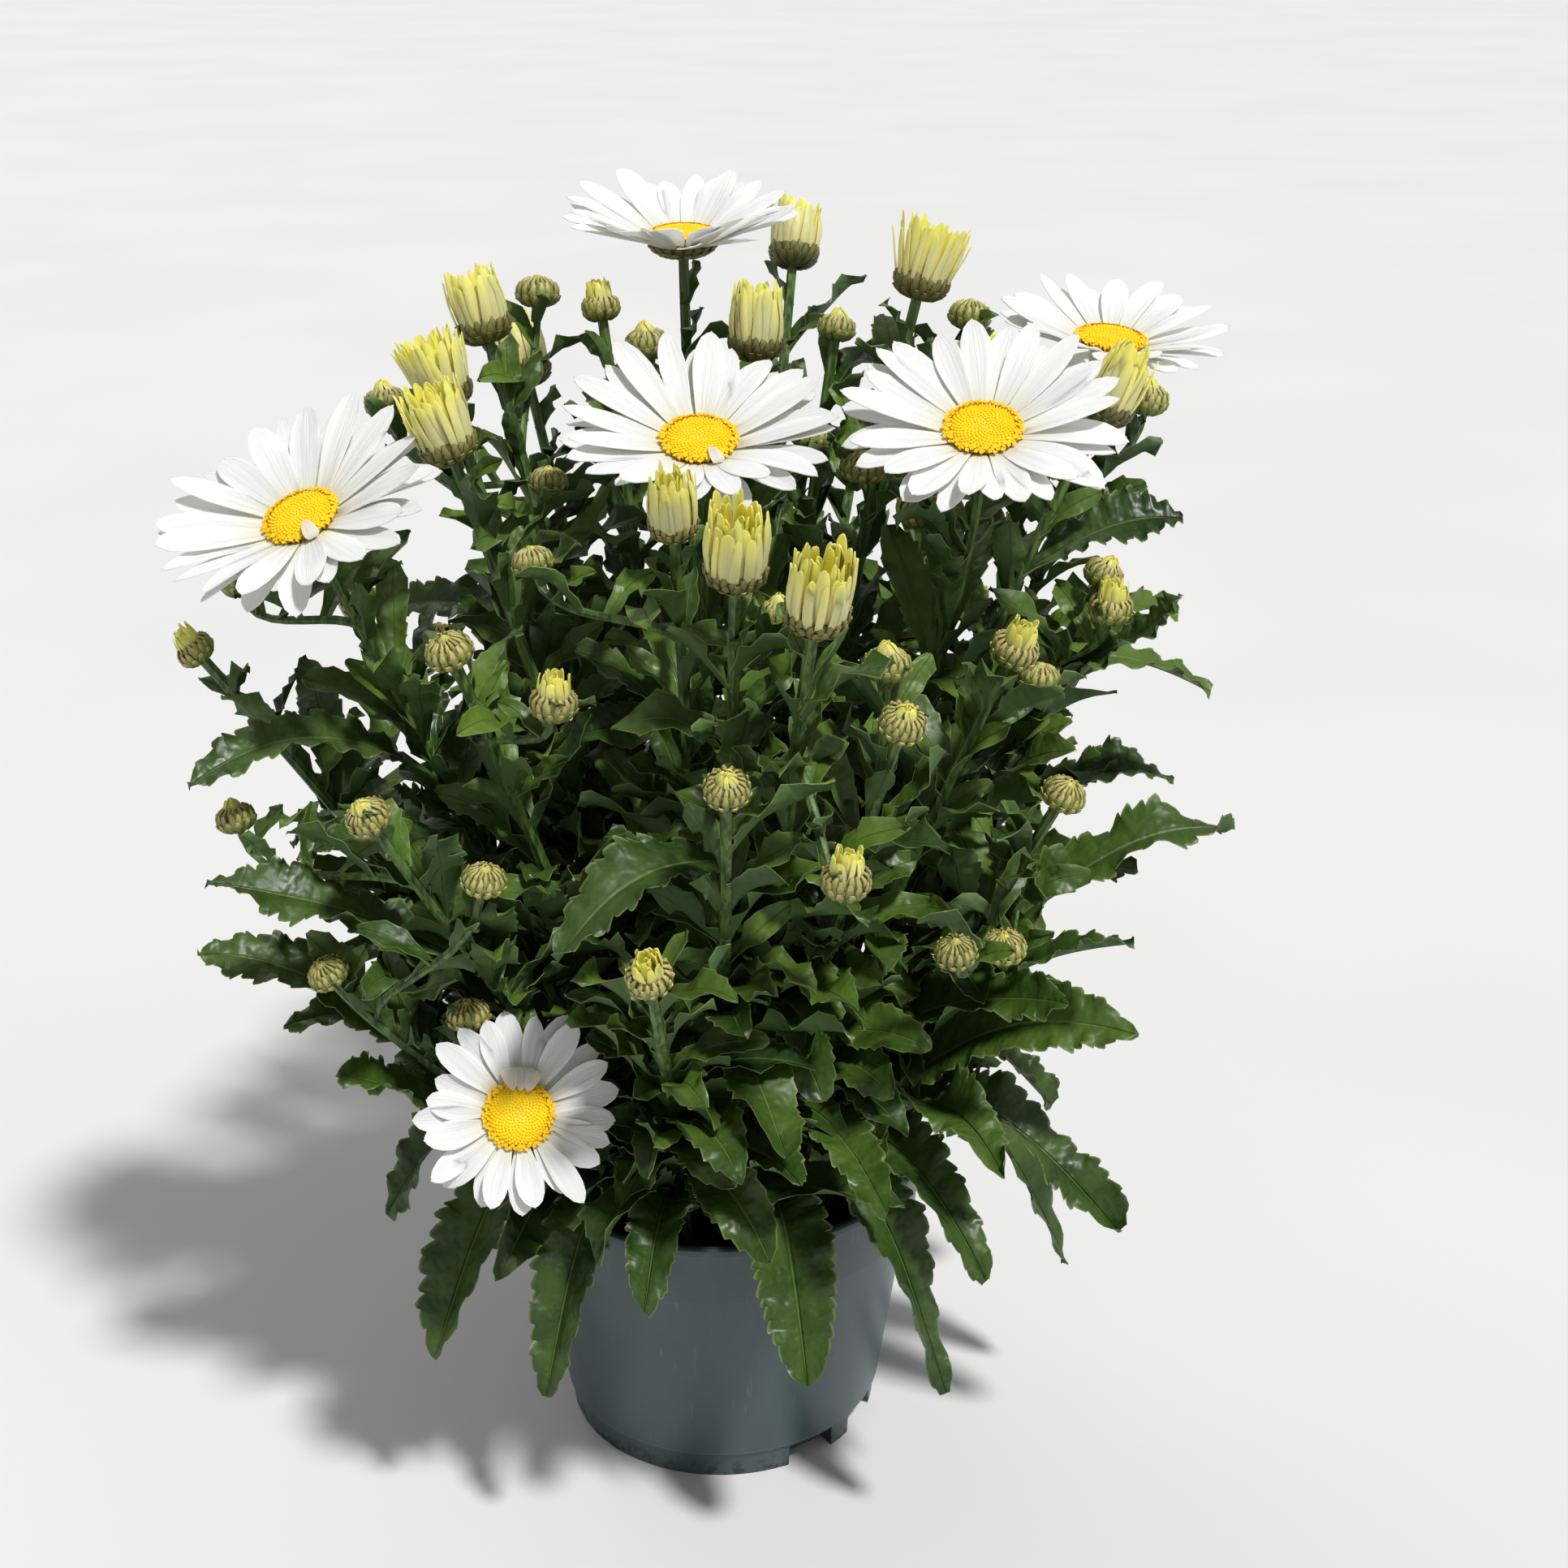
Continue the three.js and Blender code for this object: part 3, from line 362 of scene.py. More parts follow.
def crownFeet():  # where each stem leaves the soil: a small copy of the heads' layout, spread evenly
    feet = [[s["at"][0] * growth["crownShare"], s["at"][1] * growth["crownShare"]] for s in stemTable]
    spacing = growth["crownSpacing"]
    for _ in range(growth["crownRounds"]):
        for i, a in enumerate(feet):
            for b in feet[:i]:
                dx, dy = a[0] - b[0], a[1] - b[1]
                apart = math.hypot(dx, dy)
                if apart >= spacing:
                    continue
                push = 0.25 * (spacing - apart) / apart
                a[0] += dx * push
                a[1] += dy * push
                b[0] -= dx * push
                b[1] -= dy * push
            out = math.hypot(*a)
            if out > growth["crownLimit"]:
                a[0] *= growth["crownLimit"] / out
                a[1] *= growth["crownLimit"] / out
    return feet


# The room that heads keep free, in mm: a ball round a bud, an upright tube round a tuft, and two cones
# over a bloom's petals, in degrees from flat.
room = {"bud": 5, "high": (-3.5, 0, 3.5), "tuft": 8, "tuftHeight": 27, "petalFoot": 6, "cones": (0, 22)}


def aroundBud(at, facing):
    centre = at + facing * room["bud"]
    turns = [i * math.pi / 4 for i in range(8)]
    ring = [(math.cos(a) * room["bud"], math.sin(a) * room["bud"], h) for a in turns for h in room["high"]]
    return np.array([centre, *(centre + np.array(ring))])


def aroundHead(stem):
    points = []
    for i in range(40):
        a = i * math.pi / 20
        if stem["head"] == "bloom":
            for r in range(3, stem["reach"] + 3, 3):
                for tilt in room["cones"]:
                    height = room["petalFoot"] + r * math.tan(math.radians(tilt))
                    points.append((r * math.cos(a), r * math.sin(a), height))
        elif i % 5 == 0:
            for h in range(0, room["tuftHeight"], 3):
                points.append((room["tuft"] * math.cos(a), room["tuft"] * math.sin(a), h))
    return np.array(points) @ turnTo(stem["facing"]).T + stem["at"]


# How stems and their side branches bend: shares of their length, but for the lean, in degrees for each mm
# that a head or bud lies from the middle, and at most.
bends = {
    "lean": 0.22, "leanLimit": 40, "outAtFoot": 0.12, "upAtFoot": 0.3, "underHead": 0.26,
    "branchFrom": (0.3, 0.86), "branchLean": 0.004, "alongStem": 0.12, "ahead": 0.2, "underBud": 0.35,
    "branchDrop": 60, "branchFall": 0.9, "branchFoot": 0.28,  # mm, mm for each mm that it reaches, a share
}


def layOutStem(index, row, foot):
    at = np.array(row["at"], float)
    heading = row.get("heading", math.degrees(math.atan2(at[1], at[0])))
    lean = row.get("lean", min(bends["leanLimit"], bends["lean"] * math.hypot(at[0], at[1])))
    facing = leaning(lean, heading)
    foot = np.array([foot[0], foot[1], growth["soilTop"] - growth["stemDepth"]])
    rise, out = np.linalg.norm(at - foot), bends["outAtFoot"]
    lower = foot + np.array([out * (at[0] - foot[0]), out * (at[1] - foot[1]), bends["upAtFoot"] * rise])
    curve = np.array([foot, lower, at - facing * bends["underHead"] * rise, at])
    branches = []
    for end in row["branches"]:
        end = np.array(end, float)
        # A side branch leaves the stem lower, the further its bud lies from the head.
        fall = bends["branchFall"] * np.linalg.norm(end - at)
        share = (end[2] - bends["branchDrop"] - fall) / (at[2] - foot[2]) + bends["branchFoot"]
        low, high = bends["branchFrom"]
        share = min(high, max(low, share))
        start = insideStalk(curve, share)
        up = np.array([end[0] - start[0], end[1] - start[1], 0]) * bends["branchLean"] + np.array([0, 0, 1])
        up /= np.linalg.norm(up)
        long = np.linalg.norm(end - start)
        second = start + headingOf(curve, share) * bends["alongStem"] * long + (end - start) * bends["ahead"]
        third = end - up * bends["underBud"] * long
        branches.append({"facing": up, "curve": np.array([start, second, third, end])})
    return dict(row, index=index, number=f"{index + 1:02d}", at=at, facing=facing, curve=curve,
                branches=branches, leaves=[])


# How far those leaves differ from one another, how they wave and fold, and from what length, in mm, they
# are of which kind.
spread = {
    "start": 0.2, "along": 0.6, "smallest": 0.85, "size": 0.3,
    "rise": 20, "fall": 50, "twist": 110, "wave": 1.1, "fold": 20,
    "kinds": (("low", 52), ("middle", 36), ("top", 0)),
}


def leafUpStem(stem, level, rule, chance):  # one of the leaves that follow one another up a stem
    share = (level + spread["start"] + spread["along"] * chance()) / rule["count"]
    heading = growth["goldenTurn"] * level + growth["stemTurn"] * stem["index"]
    size = spread["smallest"] + spread["size"] * chance()
    length = mix(rule["long"], rule["short"], share) * size
    width = mix(rule["wide"], rule["narrow"], share) * size
    rise = mix(*rule["rise"], share) + spread["rise"] * (chance() - 0.5)
    fallTo = mix(*rule["fall"], share) + spread["fall"] * (chance() - 0.5)
    looks = {
        "twist": rule.get("twist", spread["twist"]) * (chance() - 0.5), "phase": chance(),
        "wave": spread["wave"], "fold": spread["fold"], "belly": rule["belly"], "point": rule["point"],
        "width": width, "neck": growth["neck"] / width,
        "shape": next(kind for kind, least in spread["kinds"] if length > least),
    }
    root = insideStalk(stem["curve"], mix(rule["from"], rule["to"], share))
    settle(stem, lambda turn: growLeaf(
        root, rise, looks, fallTo=fallTo, heading=heading + turn,
        length=length * (1 - abs(turn) / growth["turnShortens"]),
    ), rule.get("turns", growth["turns"]), rule.get("clearance", growth["clearance"]), rule.get("lowest", 0))


def placeLeaves(stems):
    nudges = [(t, lift) for lift in (0, 9, 18, -9) for t in (0, 5, -5, 10, -10, 16, -16, 23, -23)]
    for kind, rule in placedLeaves.items():
        for i, row in enumerate(rule["rows"]):
            stem = stems[row["stem"]]
            chance = dice(rule["seed"] + i)
            looks = {name: rule[name] for name in ("wave", "fold", "belly", "point")}
            looks.update(
                twist=rule["twist"] * (chance() - 0.5), phase=chance(), shape=kind,
                width=row["width"], neck=growth["neck"] / row["width"])
            share = row["from"] if "from" in row else shareAt(stem["curve"], growth["soilTop"] + 7)
            root = insideStalk(stem["curve"], share)
            settle(stem, lambda nudge: growLeaf(
                root, row["rise"] + nudge[1], looks, tip=turnedAbout(row["tip"], nudge[0] * rule["swing"]),
            ), nudges, growth["clearance"])
    for level in reversed(range(stemLeaves["count"])):
        for stem in stems:
            leafUpStem(stem, level, stemLeaves, dice(stem["index"] * 31 + level))


def holdStalk(curve, radius, owner):
    count = math.ceil(lengthOf(curve) / growth["grain"])
    hold(onCurve(curve, np.arange(count + 1) / count), radius, owner)


def growPlant():
    stems = [layOutStem(i, row, foot) for i, (row, foot) in enumerate(zip(stemTable, crownFeet()))]
    for s in stems:
        holdStalk(s["curve"], growth["stemRadius"], s["index"])
        if s["head"] == "bud":
            hold(aroundBud(s["at"], s["facing"]), growth["budRadius"], s["index"])
        else:
            hold(aroundHead(s), growth["headRadius"], -1 - s["index"])
        for b in s["branches"]:
            holdStalk(b["curve"], growth["branchRadius"], s["index"])
            hold(aroundBud(b["curve"][3], b["facing"]), growth["budRadius"], s["index"])
    placeLeaves(stems)
    print("plant laid out:", sum(len(s["leaves"]) for s in stems), "leaves")
    return stems


def addSmallLeaves(stems):  # between the leaves that are there already
    for depth, rule in enumerate(fillLeaves):
        for level in range(rule["count"]):
            for stem in stems:
                chance = dice(9000 + 2000 * depth + stem["index"] * 31 + level)
                leafUpStem(stem, level, rule, chance)
    for stem in stems:
        for side, branch in enumerate(stem["branches"]):
            twig = {"index": stem["index"], "curve": branch["curve"], "leaves": stem["leaves"]}
            for level in range(branchLeaves["count"]):
                chance = dice(17000 + stem["index"] * 31 + 7 * side + level)
                leafUpStem(twig, level, branchLeaves, chance)
    print("with the small leaves between:", sum(len(s["leaves"]) for s in stems))


# Small helpers for modelling with operators.
def alone(*keep):  # leaves edit mode and selects only what is named
    if bpy.context.object and bpy.context.object.mode != "OBJECT":
        bpy.ops.object.mode_set(mode="OBJECT")
    bpy.ops.object.select_all(action="DESELECT")
    for ob in keep:
        ob.select_set(True)
    if keep:
        bpy.context.view_layer.objects.active = keep[0]


def added(operator, **settings):  # runs one of Blender's add operators and gives what it made
    alone()
    operator(**settings)
    return bpy.context.object


def pointsOf(ob):
    co = np.empty(len(ob.data.vertices) * 3)
    ob.data.vertices.foreach_get("co", co)
    return co.reshape(-1, 3)


def setPoints(ob, co):
    ob.data.vertices.foreach_set("co", np.ascontiguousarray(co, float).ravel())
    ob.data.update()


def applyModifier(ob, kind, **settings):
    alone(ob)
    modifier = ob.modifiers.new(kind, kind)
    for name, value in settings.items():
        setattr(modifier, name, value)
    bpy.ops.object.modifier_apply(modifier=modifier.name)


def outwards(ob):  # joins doubled points and turns every face outwards
    alone(ob)
    bpy.ops.object.mode_set(mode="EDIT")
    bpy.ops.mesh.select_all(action="SELECT")
    bpy.ops.mesh.remove_doubles(threshold=1e-7)
    bpy.ops.mesh.normals_make_consistent(inside=False)
    bpy.ops.object.mode_set(mode="OBJECT")


def joined(name, parts):
    alone(*parts)
    if len(parts) > 1:
        bpy.ops.object.join()
    piece = bpy.context.object
    piece.name = name
    return piece


def finishPiece(piece, node, angle):  # smooth shading, body and the node it stands for
    alone(piece)
    bpy.ops.object.shade_smooth_by_angle(angle=math.radians(angle))
    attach(piece, "root")
    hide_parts(node)


def paint(ob, *materials):
    ob.data.materials.clear()
    for material in materials:
        ob.data.materials.append(material)


def copyBent(master, place, tone=0.5):  # a copy with a mesh of its own, each point moved by a rule
    piece = master.copy()
    piece.data = master.data.copy()
    setPoints(piece, place(pointsOf(master)) * mm)
    bpy.context.collection.objects.link(piece)
    tones = piece.data.attributes.get("tone") or piece.data.attributes.new("tone", "FLOAT", "POINT")
    tones.data.foreach_set("value", np.full(len(piece.data.vertices), tone, np.float32))
    return piece


def keptInside(points):  # eases points near the sides or the top of the solid plant's box back into it
    low, high = [np.array(corner) / mm for corner in solidBox]
    low[2] = -high[2]
    middle, half = (low + high) / 2, (high - low) / 2 - 4
    off = points - middle
    past = np.maximum(0, np.abs(off) - half)
    return middle + np.sign(off) * (np.minimum(np.abs(off), half) + 3.9 * np.tanh(past / 4))


def copyTurned(master, at, facing, spin, scale, tone=0.5):  # a copy turned to a direction, at a place in mm
    c, s = math.cos(spin), math.sin(spin)
    turn = turnTo(facing) @ np.array([[c, -s, 0], [s, c, 0], [0, 0, 1]]) * scale
    return copyBent(master, lambda co: keptInside(co / mm @ turn.T + at), tone)


def turned(name, profile, sides):  # a round closed shape, drawn ring by ring, of radius and height in mm
    radius, height = profile[0]
    ob = added(bpy.ops.mesh.primitive_circle_add, vertices=sides, radius=radius * mm, fill_type="NGON",
               location=(0, 0, height * mm))
    ob.name = name
    bpy.ops.object.transform_apply(location=True, rotation=True, scale=True)
    bpy.ops.object.mode_set(mode="EDIT")
    bpy.ops.mesh.select_all(action="SELECT")
    for wide, high in profile[1:]:
        bpy.ops.mesh.extrude_region_move(TRANSFORM_OT_translate={"value": (0, 0, (high - height) * mm)})
        share = wide / radius
        bpy.ops.transform.resize(value=(share, share, 1), center_override=(0, 0, high * mm))
        radius, height = wide, high
    bpy.ops.object.mode_set(mode="OBJECT")
    outwards(ob)
    return ob


def sheet(name, alongLines, acrossLines, thickness):
    # A thin closed plate in its own measure: x runs from 0 at the root to 1 at the tip, y from -1 to 1
    # across, z is millimetres. Its UV map holds x and y, with 2 added to y on the underside.
    columns, rows = len(alongLines) - 1, len(acrossLines) - 1
    ob = added(bpy.ops.mesh.primitive_grid_add, x_subdivisions=columns, y_subdivisions=rows, size=2)
    ob.name = name
    co = pointsOf(ob)
    co[:, 0] = np.array(alongLines)[np.rint((co[:, 0] + 1) / 2 * columns).astype(int)]
    co[:, 1] = np.array(acrossLines)[np.rint((co[:, 1] + 1) / 2 * rows).astype(int)]
    setPoints(ob, co)
    applyModifier(ob, "SOLIDIFY", thickness=thickness, offset=0)
    co = pointsOf(ob)
    mapped = np.zeros((len(ob.data.loops), 2))
    for face in ob.data.polygons:
        for corner in face.loop_indices:
            x, y = co[ob.data.loops[corner].vertex_index, :2]
            mapped[corner] = x, 0.5 + 0.5 * y + (2 if face.normal.z < -0.5 else 0)
    ob.data.uv_layers[0].data.foreach_set("uv", mapped.ravel())
    ob.data.attributes.new("tone", "FLOAT", "POINT")
    return ob


def shapedSheet(name, alongLines, acrossLines, thickness, finish, shape):  # its points moved by a rule
    ob = sheet(name, alongLines, acrossLines, thickness)
    setPoints(ob, np.stack(shape(*pointsOf(ob).T), axis=1))
    paint(ob, finishes[finish])
    return ob


# Materials, all from nodes.
def newMaterial(name, roughness, specular=0.5):
    material = bpy.data.materials.new(name)
    material.use_nodes = True
    shader = material.node_tree.nodes["Principled BSDF"]
    shader.inputs["Roughness"].default_value = roughness
    shader.inputs["Specular IOR Level"].default_value = specular
    return material, shader


def wire(material, kind, inputs, output=0, **settings):  # adds a node, sets or links its sockets
    made = material.node_tree.nodes.new("ShaderNode" + kind)
    for name, value in settings.items():
        setattr(made, name, value)
    for socket, value in inputs.items():
        if isinstance(value, bpy.types.NodeSocket):
            material.node_tree.links.new(value, made.inputs[socket])
        else:
            made.inputs[socket].default_value = value
    return made.outputs[output]


def calculate(material, operation, *values, clamp=False):
    return wire(material, "Math", dict(enumerate(values)), operation=operation, use_clamp=clamp)


def times(material, a, b, plus=0.0, clamp=False):
    return calculate(material, "MULTIPLY_ADD", a, b, plus, clamp=clamp)


def blendColours(material, share, low, high):
    return wire(material, "Mix", {0: share, 6: low, 7: high}, output=2, data_type="RGBA")


def between(material, value, low, high, toLow=0.0, toHigh=1.0):  # a value brought smoothly to another range
    inputs = {0: value, 1: low, 2: high, 3: toLow, 4: toHigh}
    return wire(material, "MapRange", inputs, interpolation_type="SMOOTHSTEP")


def colour(r, g, b):
    return (r, g, b, 1)


def grain(material, scale, detail, stretch=(1, 1, 1), roughness=0.55):  # noise fixed to the piece
    place = wire(material, "TexCoord", {}, output=3)
    mapped = wire(material, "Mapping", {"Vector": place, "Scale": stretch})
    inputs = {"Vector": mapped, "Scale": scale, "Detail": detail, "Roughness": roughness}
    return wire(material, "TexNoise", inputs)


def connect(material, value, shader, socket):
    material.node_tree.links.new(value, shader.inputs[socket])


def finished(material, shader, base, height, distance):  # a material with its colour and its fine relief
    normal = wire(material, "Bump", {"Height": height, "Distance": distance, "Strength": 1.0})
    connect(material, base, shader, "Base Color")
    connect(material, normal, shader, "Normal")
    return material


def layered(material, base, *layers):  # colours laid one over another, each by its share
    for share, over in layers:
        base = blendColours(material, share, base, over)
    return base


def toneOf(material):  # the number that a copy carries, or each point of a disc
    return wire(material, "Attribute", {}, output=2, attribute_name="tone")


def placeOnSheet(material):  # from a sheet's UV map, along it and across it
    apart = wire(material, "SeparateXYZ", {0: wire(material, "UVMap", {}, uv_map="UVMap")}).node
    return apart.outputs[0], apart.outputs[1]


def outFromMiddle(material, across):  # 0 on a sheet's middle line and 1 at its edge, and 1 on its underside
    under = calculate(material, "GREATER_THAN", across, 1.5)
    flat = times(material, under, -2.0, across)
    return calculate(material, "ABSOLUTE", times(material, flat, 2.0, -1.0)), under


def soakLight(shader, weight, radius):  # light that goes into thin petals and out again
    values = {"Subsurface Weight": weight, "Subsurface Scale": 0.004, "Subsurface Radius": radius}
    for socket, value in values.items():
        shader.inputs[socket].default_value = value


# old is the dark end of a leaf's colour: older leaves, and the painted shade of the lower leaves
leafFinish = {
    "young": colour(0.088, 0.158, 0.018), "old": colour(0.009, 0.031, 0.005),
    # edge is a painted highlight along the leaf's rim
    "rib": colour(0.14, 0.21, 0.05), "under": colour(0.055, 0.11, 0.03), "edge": colour(0.2, 0.25, 0.08),
    "veinDepth": 0.0006, "roughness": (0.34, 0.54), "veins": 0.05, "puckers": 1.7,
    "mottleScale": 55, "fineScale": 900, "puckerScale": 230,
}


def makeLeafMaterial():
    m, shader = newMaterial("leafGreen", 0.4, 0.4)
    look = leafFinish
    phase, across = placeOnSheet(m)
    out, under = outFromMiddle(m, across)
    rib = between(m, out, 0.015, 0.07, 1, 0)
    mottle = grain(m, look["mottleScale"], 2)
    swept = times(m, mottle, 0.7, times(m, out, -0.9, phase))
    wave = calculate(m, "PINGPONG", calculate(m, "ADD", swept, 40.3), 0.5)  # 0 on a side vein
    vein = times(m, between(m, wave, 0.0, 0.09, 1, 0), between(m, out, 0.35, 0.95, 1, 0.1))
    share = calculate(m, "ADD", times(m, mottle, 1.1, -0.5), toneOf(m))
    share = times(m, grain(m, look["fineScale"], 1), 0.25, share, clamp=True)
    base = layered(
        m, look["old"], (share, look["young"]),
        (times(m, vein, look["veins"]), look["rib"]),
        (times(m, rib, 0.5), look["rib"]),
        # painted highlight along the blade's rim
        (between(m, out, 0.9, 1.0, 0, 0.6), look["edge"]),
        (times(m, under, 0.7), look["under"]))
    rough = between(m, mottle, 0.3, 0.7, *look["roughness"])
    connect(m, times(m, under, 0.2, rough), shader, "Roughness")
    puckers = times(m, grain(m, look["puckerScale"], 1), look["puckers"])
    return finished(m, shader, base, times(m, rib, -0.7, puckers), look["veinDepth"])


stalkFinish = {
    "light": colour(0.12, 0.2, 0.035), "dark": colour(0.025, 0.065, 0.012), "roughness": 0.5,
    "streakScale": 500, "mottleScale": 40,
}


def makeStalkMaterial():
    m, shader = newMaterial("stalkGreen", stalkFinish["roughness"])
    streaks = grain(m, stalkFinish["streakScale"], 3, stretch=(1, 1, 0.06))
    mottle = grain(m, stalkFinish["mottleScale"], 3)
    share = calculate(m, "SUBTRACT", mottle, 0.6)
    share = calculate(m, "ADD", between(m, streaks, 0.35, 0.65), share, clamp=True)
    base = blendColours(m, share, stalkFinish["dark"], stalkFinish["light"])
    return finished(m, shader, base, streaks, 0.0003)


bractFinish = {
    "foot": colour(0.065, 0.105, 0.02), "heart": colour(0.24, 0.275, 0.055), "tip": colour(0.6, 0.5, 0.18),
    "margin": colour(0.055, 0.036, 0.009), "brown": colour(0.075, 0.068, 0.012), "speckleScale": 1500,
}


def makeBractMaterial():
    m, shader = newMaterial("bractGreen", 0.55)
    along, across = placeOnSheet(m)
    out = outFromMiddle(m, across)[0]
    speckle = grain(m, bractFinish["speckleScale"], 3)
    ragged = times(m, speckle, 0.4, calculate(m, "SUBTRACT", out, 0.2))
    fading = between(m, along, 0.8, 1.05, 1, 0.5)
    base = layered(
        m, bractFinish["foot"], (between(m, along, 0.0, 0.6), bractFinish["heart"]),
        (between(m, along, 0.6, 0.95, 0, 0.85), bractFinish["tip"]),
        (between(m, toneOf(m), 0.0, 0.8, 0.85, 0), bractFinish["brown"]),  # the tone is low on the cups
        (times(m, between(m, ragged, 0.55, 0.85, 0, 0.9), fading), bractFinish["margin"]))
    return finished(m, shader, base, speckle, 0.0002)


creamFinish = {
    "foot": colour(0.78, 0.71, 0.24), "middle": colour(0.88, 0.81, 0.28), "tip": colour(0.92, 0.84, 0.12),
    "stripeScale": 700, "soak": 0.6,
}


def makeCreamMaterial():
    m, shader = newMaterial("creamPetal", 0.5)
    along = placeOnSheet(m)[0]
    # the stripes mixed toward the darker foot colour are painted shade in the grooves
    stripes = grain(m, creamFinish["stripeScale"], 2, stretch=(1, 1, 0.1))
    top = times(m, toneOf(m), 1.0, between(m, along, 0.25, 1.0, -0.4, 0.5), clamp=True)
    base = layered(
        m, creamFinish["foot"], (between(m, along, 0.0, 0.5), creamFinish["middle"]),
        (top, creamFinish["tip"]), (between(m, stripes, 0.5, 0.75, 0, 0.3), creamFinish["foot"]))
    soakLight(shader, creamFinish["soak"], (1, 0.9, 0.4))
    return finished(m, shader, base, stripes, 0.0002)


petalFinish = {
    "blade": colour(0.9, 0.9, 0.87), "foot": colour(0.88, 0.84, 0.56), "shade": colour(0.82, 0.82, 0.785),
    "lineScale": 1.6, "soak": 0.5,
}


def makePetalMaterial():
    m, shader = newMaterial("petalWhite", 0.55, 0.3)
    along, across = placeOnSheet(m)
    stretched = {0: times(m, along, 0.8), 1: times(m, across, 9.0), 2: toneOf(m)}
    lines = wire(m, "TexNoise", {
        "Vector": wire(m, "CombineXYZ", stretched), "Scale": petalFinish["lineScale"], "Detail": 2.0})
    # the shade colour along the noise lines is painted shade in the petal's grooves
    base = layered(
        m, petalFinish["blade"], (between(m, lines, 0.35, 0.7, 0, 0.6), petalFinish["shade"]),
        (between(m, along, 0.02, 0.42, 0.9, 0), petalFinish["foot"]))
    soakLight(shader, petalFinish["soak"], (1, 0.97, 0.85))
    return finished(m, shader, base, lines, 0.0003)


discFinish = {
    "rim": colour(0.93, 0.56, 0.006), "middle": colour(0.96, 0.68, 0.01), "heart": colour(0.88, 0.66, 0.03),
    "creviceShade": colour(0.4, 0.24, 0.012), "speckleScale": 1400,
}


def makeDiscMaterial():
    m, shader = newMaterial("discGold", 0.6, 0.3)
    tone = toneOf(m)  # 0 at the heart, 1 at the rim
    speckle = grain(m, discFinish["speckleScale"], 3)
    base = layered(
        m, discFinish["heart"], (between(m, tone, 0.1, 0.4), discFinish["middle"]),
        (between(m, tone, 0.75, 1.0), discFinish["rim"]),
        (between(m, speckle, 0.55, 0.8, 0, 0.4), discFinish["rim"]),
        # painted shade on the core between the open florets
        (between(m, tone, 1.4, 1.6), discFinish["creviceShade"]))
    return finished(m, shader, base, speckle, 0.0003)


# The pot: one turned wall with a rim band and a stepped foot, and four drain notches cut at the foot.
pot = {
    "height": 102, "rimRadius": 70, "baseRadius": 54, "wall": 1.8, "band": 23, "foot": 9, "sides": 128,
    "notchHeadings": (-54.4, -25.6, 125.6, 154.4), "notchWidth": 18, "notchHeight": 8, "notchDepth": 14,
    "bevel": 0.35, "underside": ((14, 0), (16, 3), (43, 3), (45, 0)),  # radius and height, raised within
}

potFinish = {
    # scuffAndHighlight: the lighter colour of scuffs, flow marks and scratches, and of the painted highlight
    # above the foot
    "plastic": colour(0.038, 0.065, 0.07), "scuffAndHighlight": colour(0.11, 0.155, 0.16),
    "dirt": colour(0.02, 0.022, 0.022), "dirtScale": 260,
    "flowScale": 60, "fineScale": 2200, "scratchScale": 380,
}


def makePotMaterial():
    m, shader = newMaterial("potGrey", 0.38)
    flow = grain(m, potFinish["flowScale"], 4, stretch=(1, 1, 0.35))
    fine = grain(m, potFinish["fineScale"], 2)
    scratches = between(m, grain(m, potFinish["scratchScale"], 2, stretch=(1, 1, 0.02)), 0.66, 0.74)
    height = wire(m, "SeparateXYZ", {0: wire(m, "TexCoord", {}, output=3)}, output=2)
    # step is the distance from the line just above the foot, where a painted highlight runs
    step = calculate(m, "ABSOLUTE", calculate(m, "SUBTRACT", height, (pot["foot"] + 1) * mm))
    low = between(m, height, 0.0005, 0.009, 0.9, 0)
    dirt = times(m, low, between(m, grain(m, potFinish["dirtScale"], 6), 0.5, 0.6))
    base = layered(
        m, potFinish["plastic"], (between(m, flow, 0.3, 0.7, 0, 0.22), potFinish["scuffAndHighlight"]),
        (times(m, scratches, 0.35), potFinish["scuffAndHighlight"]),
        (between(m, step, 0.0002, 0.0009, 0.55, 0), potFinish["scuffAndHighlight"]), (dirt, potFinish["dirt"]))
    rough = times(m, flow, 0.25, 0.26)
    connect(m, times(m, dirt, 0.3, rough), shader, "Roughness")
    return finished(m, shader, base, times(m, scratches, -0.5, fine), 0.00005)


soilFinish = {
    "dark": colour(0.006, 0.0045, 0.0035), "light": colour(0.035, 0.025, 0.018), "clodScale": 260,
}


def makeSoilMaterial():
    m, shader = newMaterial("soilBlack", 0.9, 0.25)
    clods = grain(m, soilFinish["clodScale"], 8, roughness=0.7)
    share = times(m, between(m, clods, 0.45, 0.8), calculate(m, "ADD", toneOf(m), 0.3))
    return finished(m, shader, blendColours(m, share, soilFinish["dark"], soilFinish["light"]), clods, 0.002)


finishes = {
    "leaf": makeLeafMaterial(), "stalk": makeStalkMaterial(), "bract": makeBractMaterial(),
    "cream": makeCreamMaterial(), "petal": makePetalMaterial(), "disc": makeDiscMaterial(),
    "pot": makePotMaterial(), "soil": makeSoilMaterial(),
}
print("materials made")


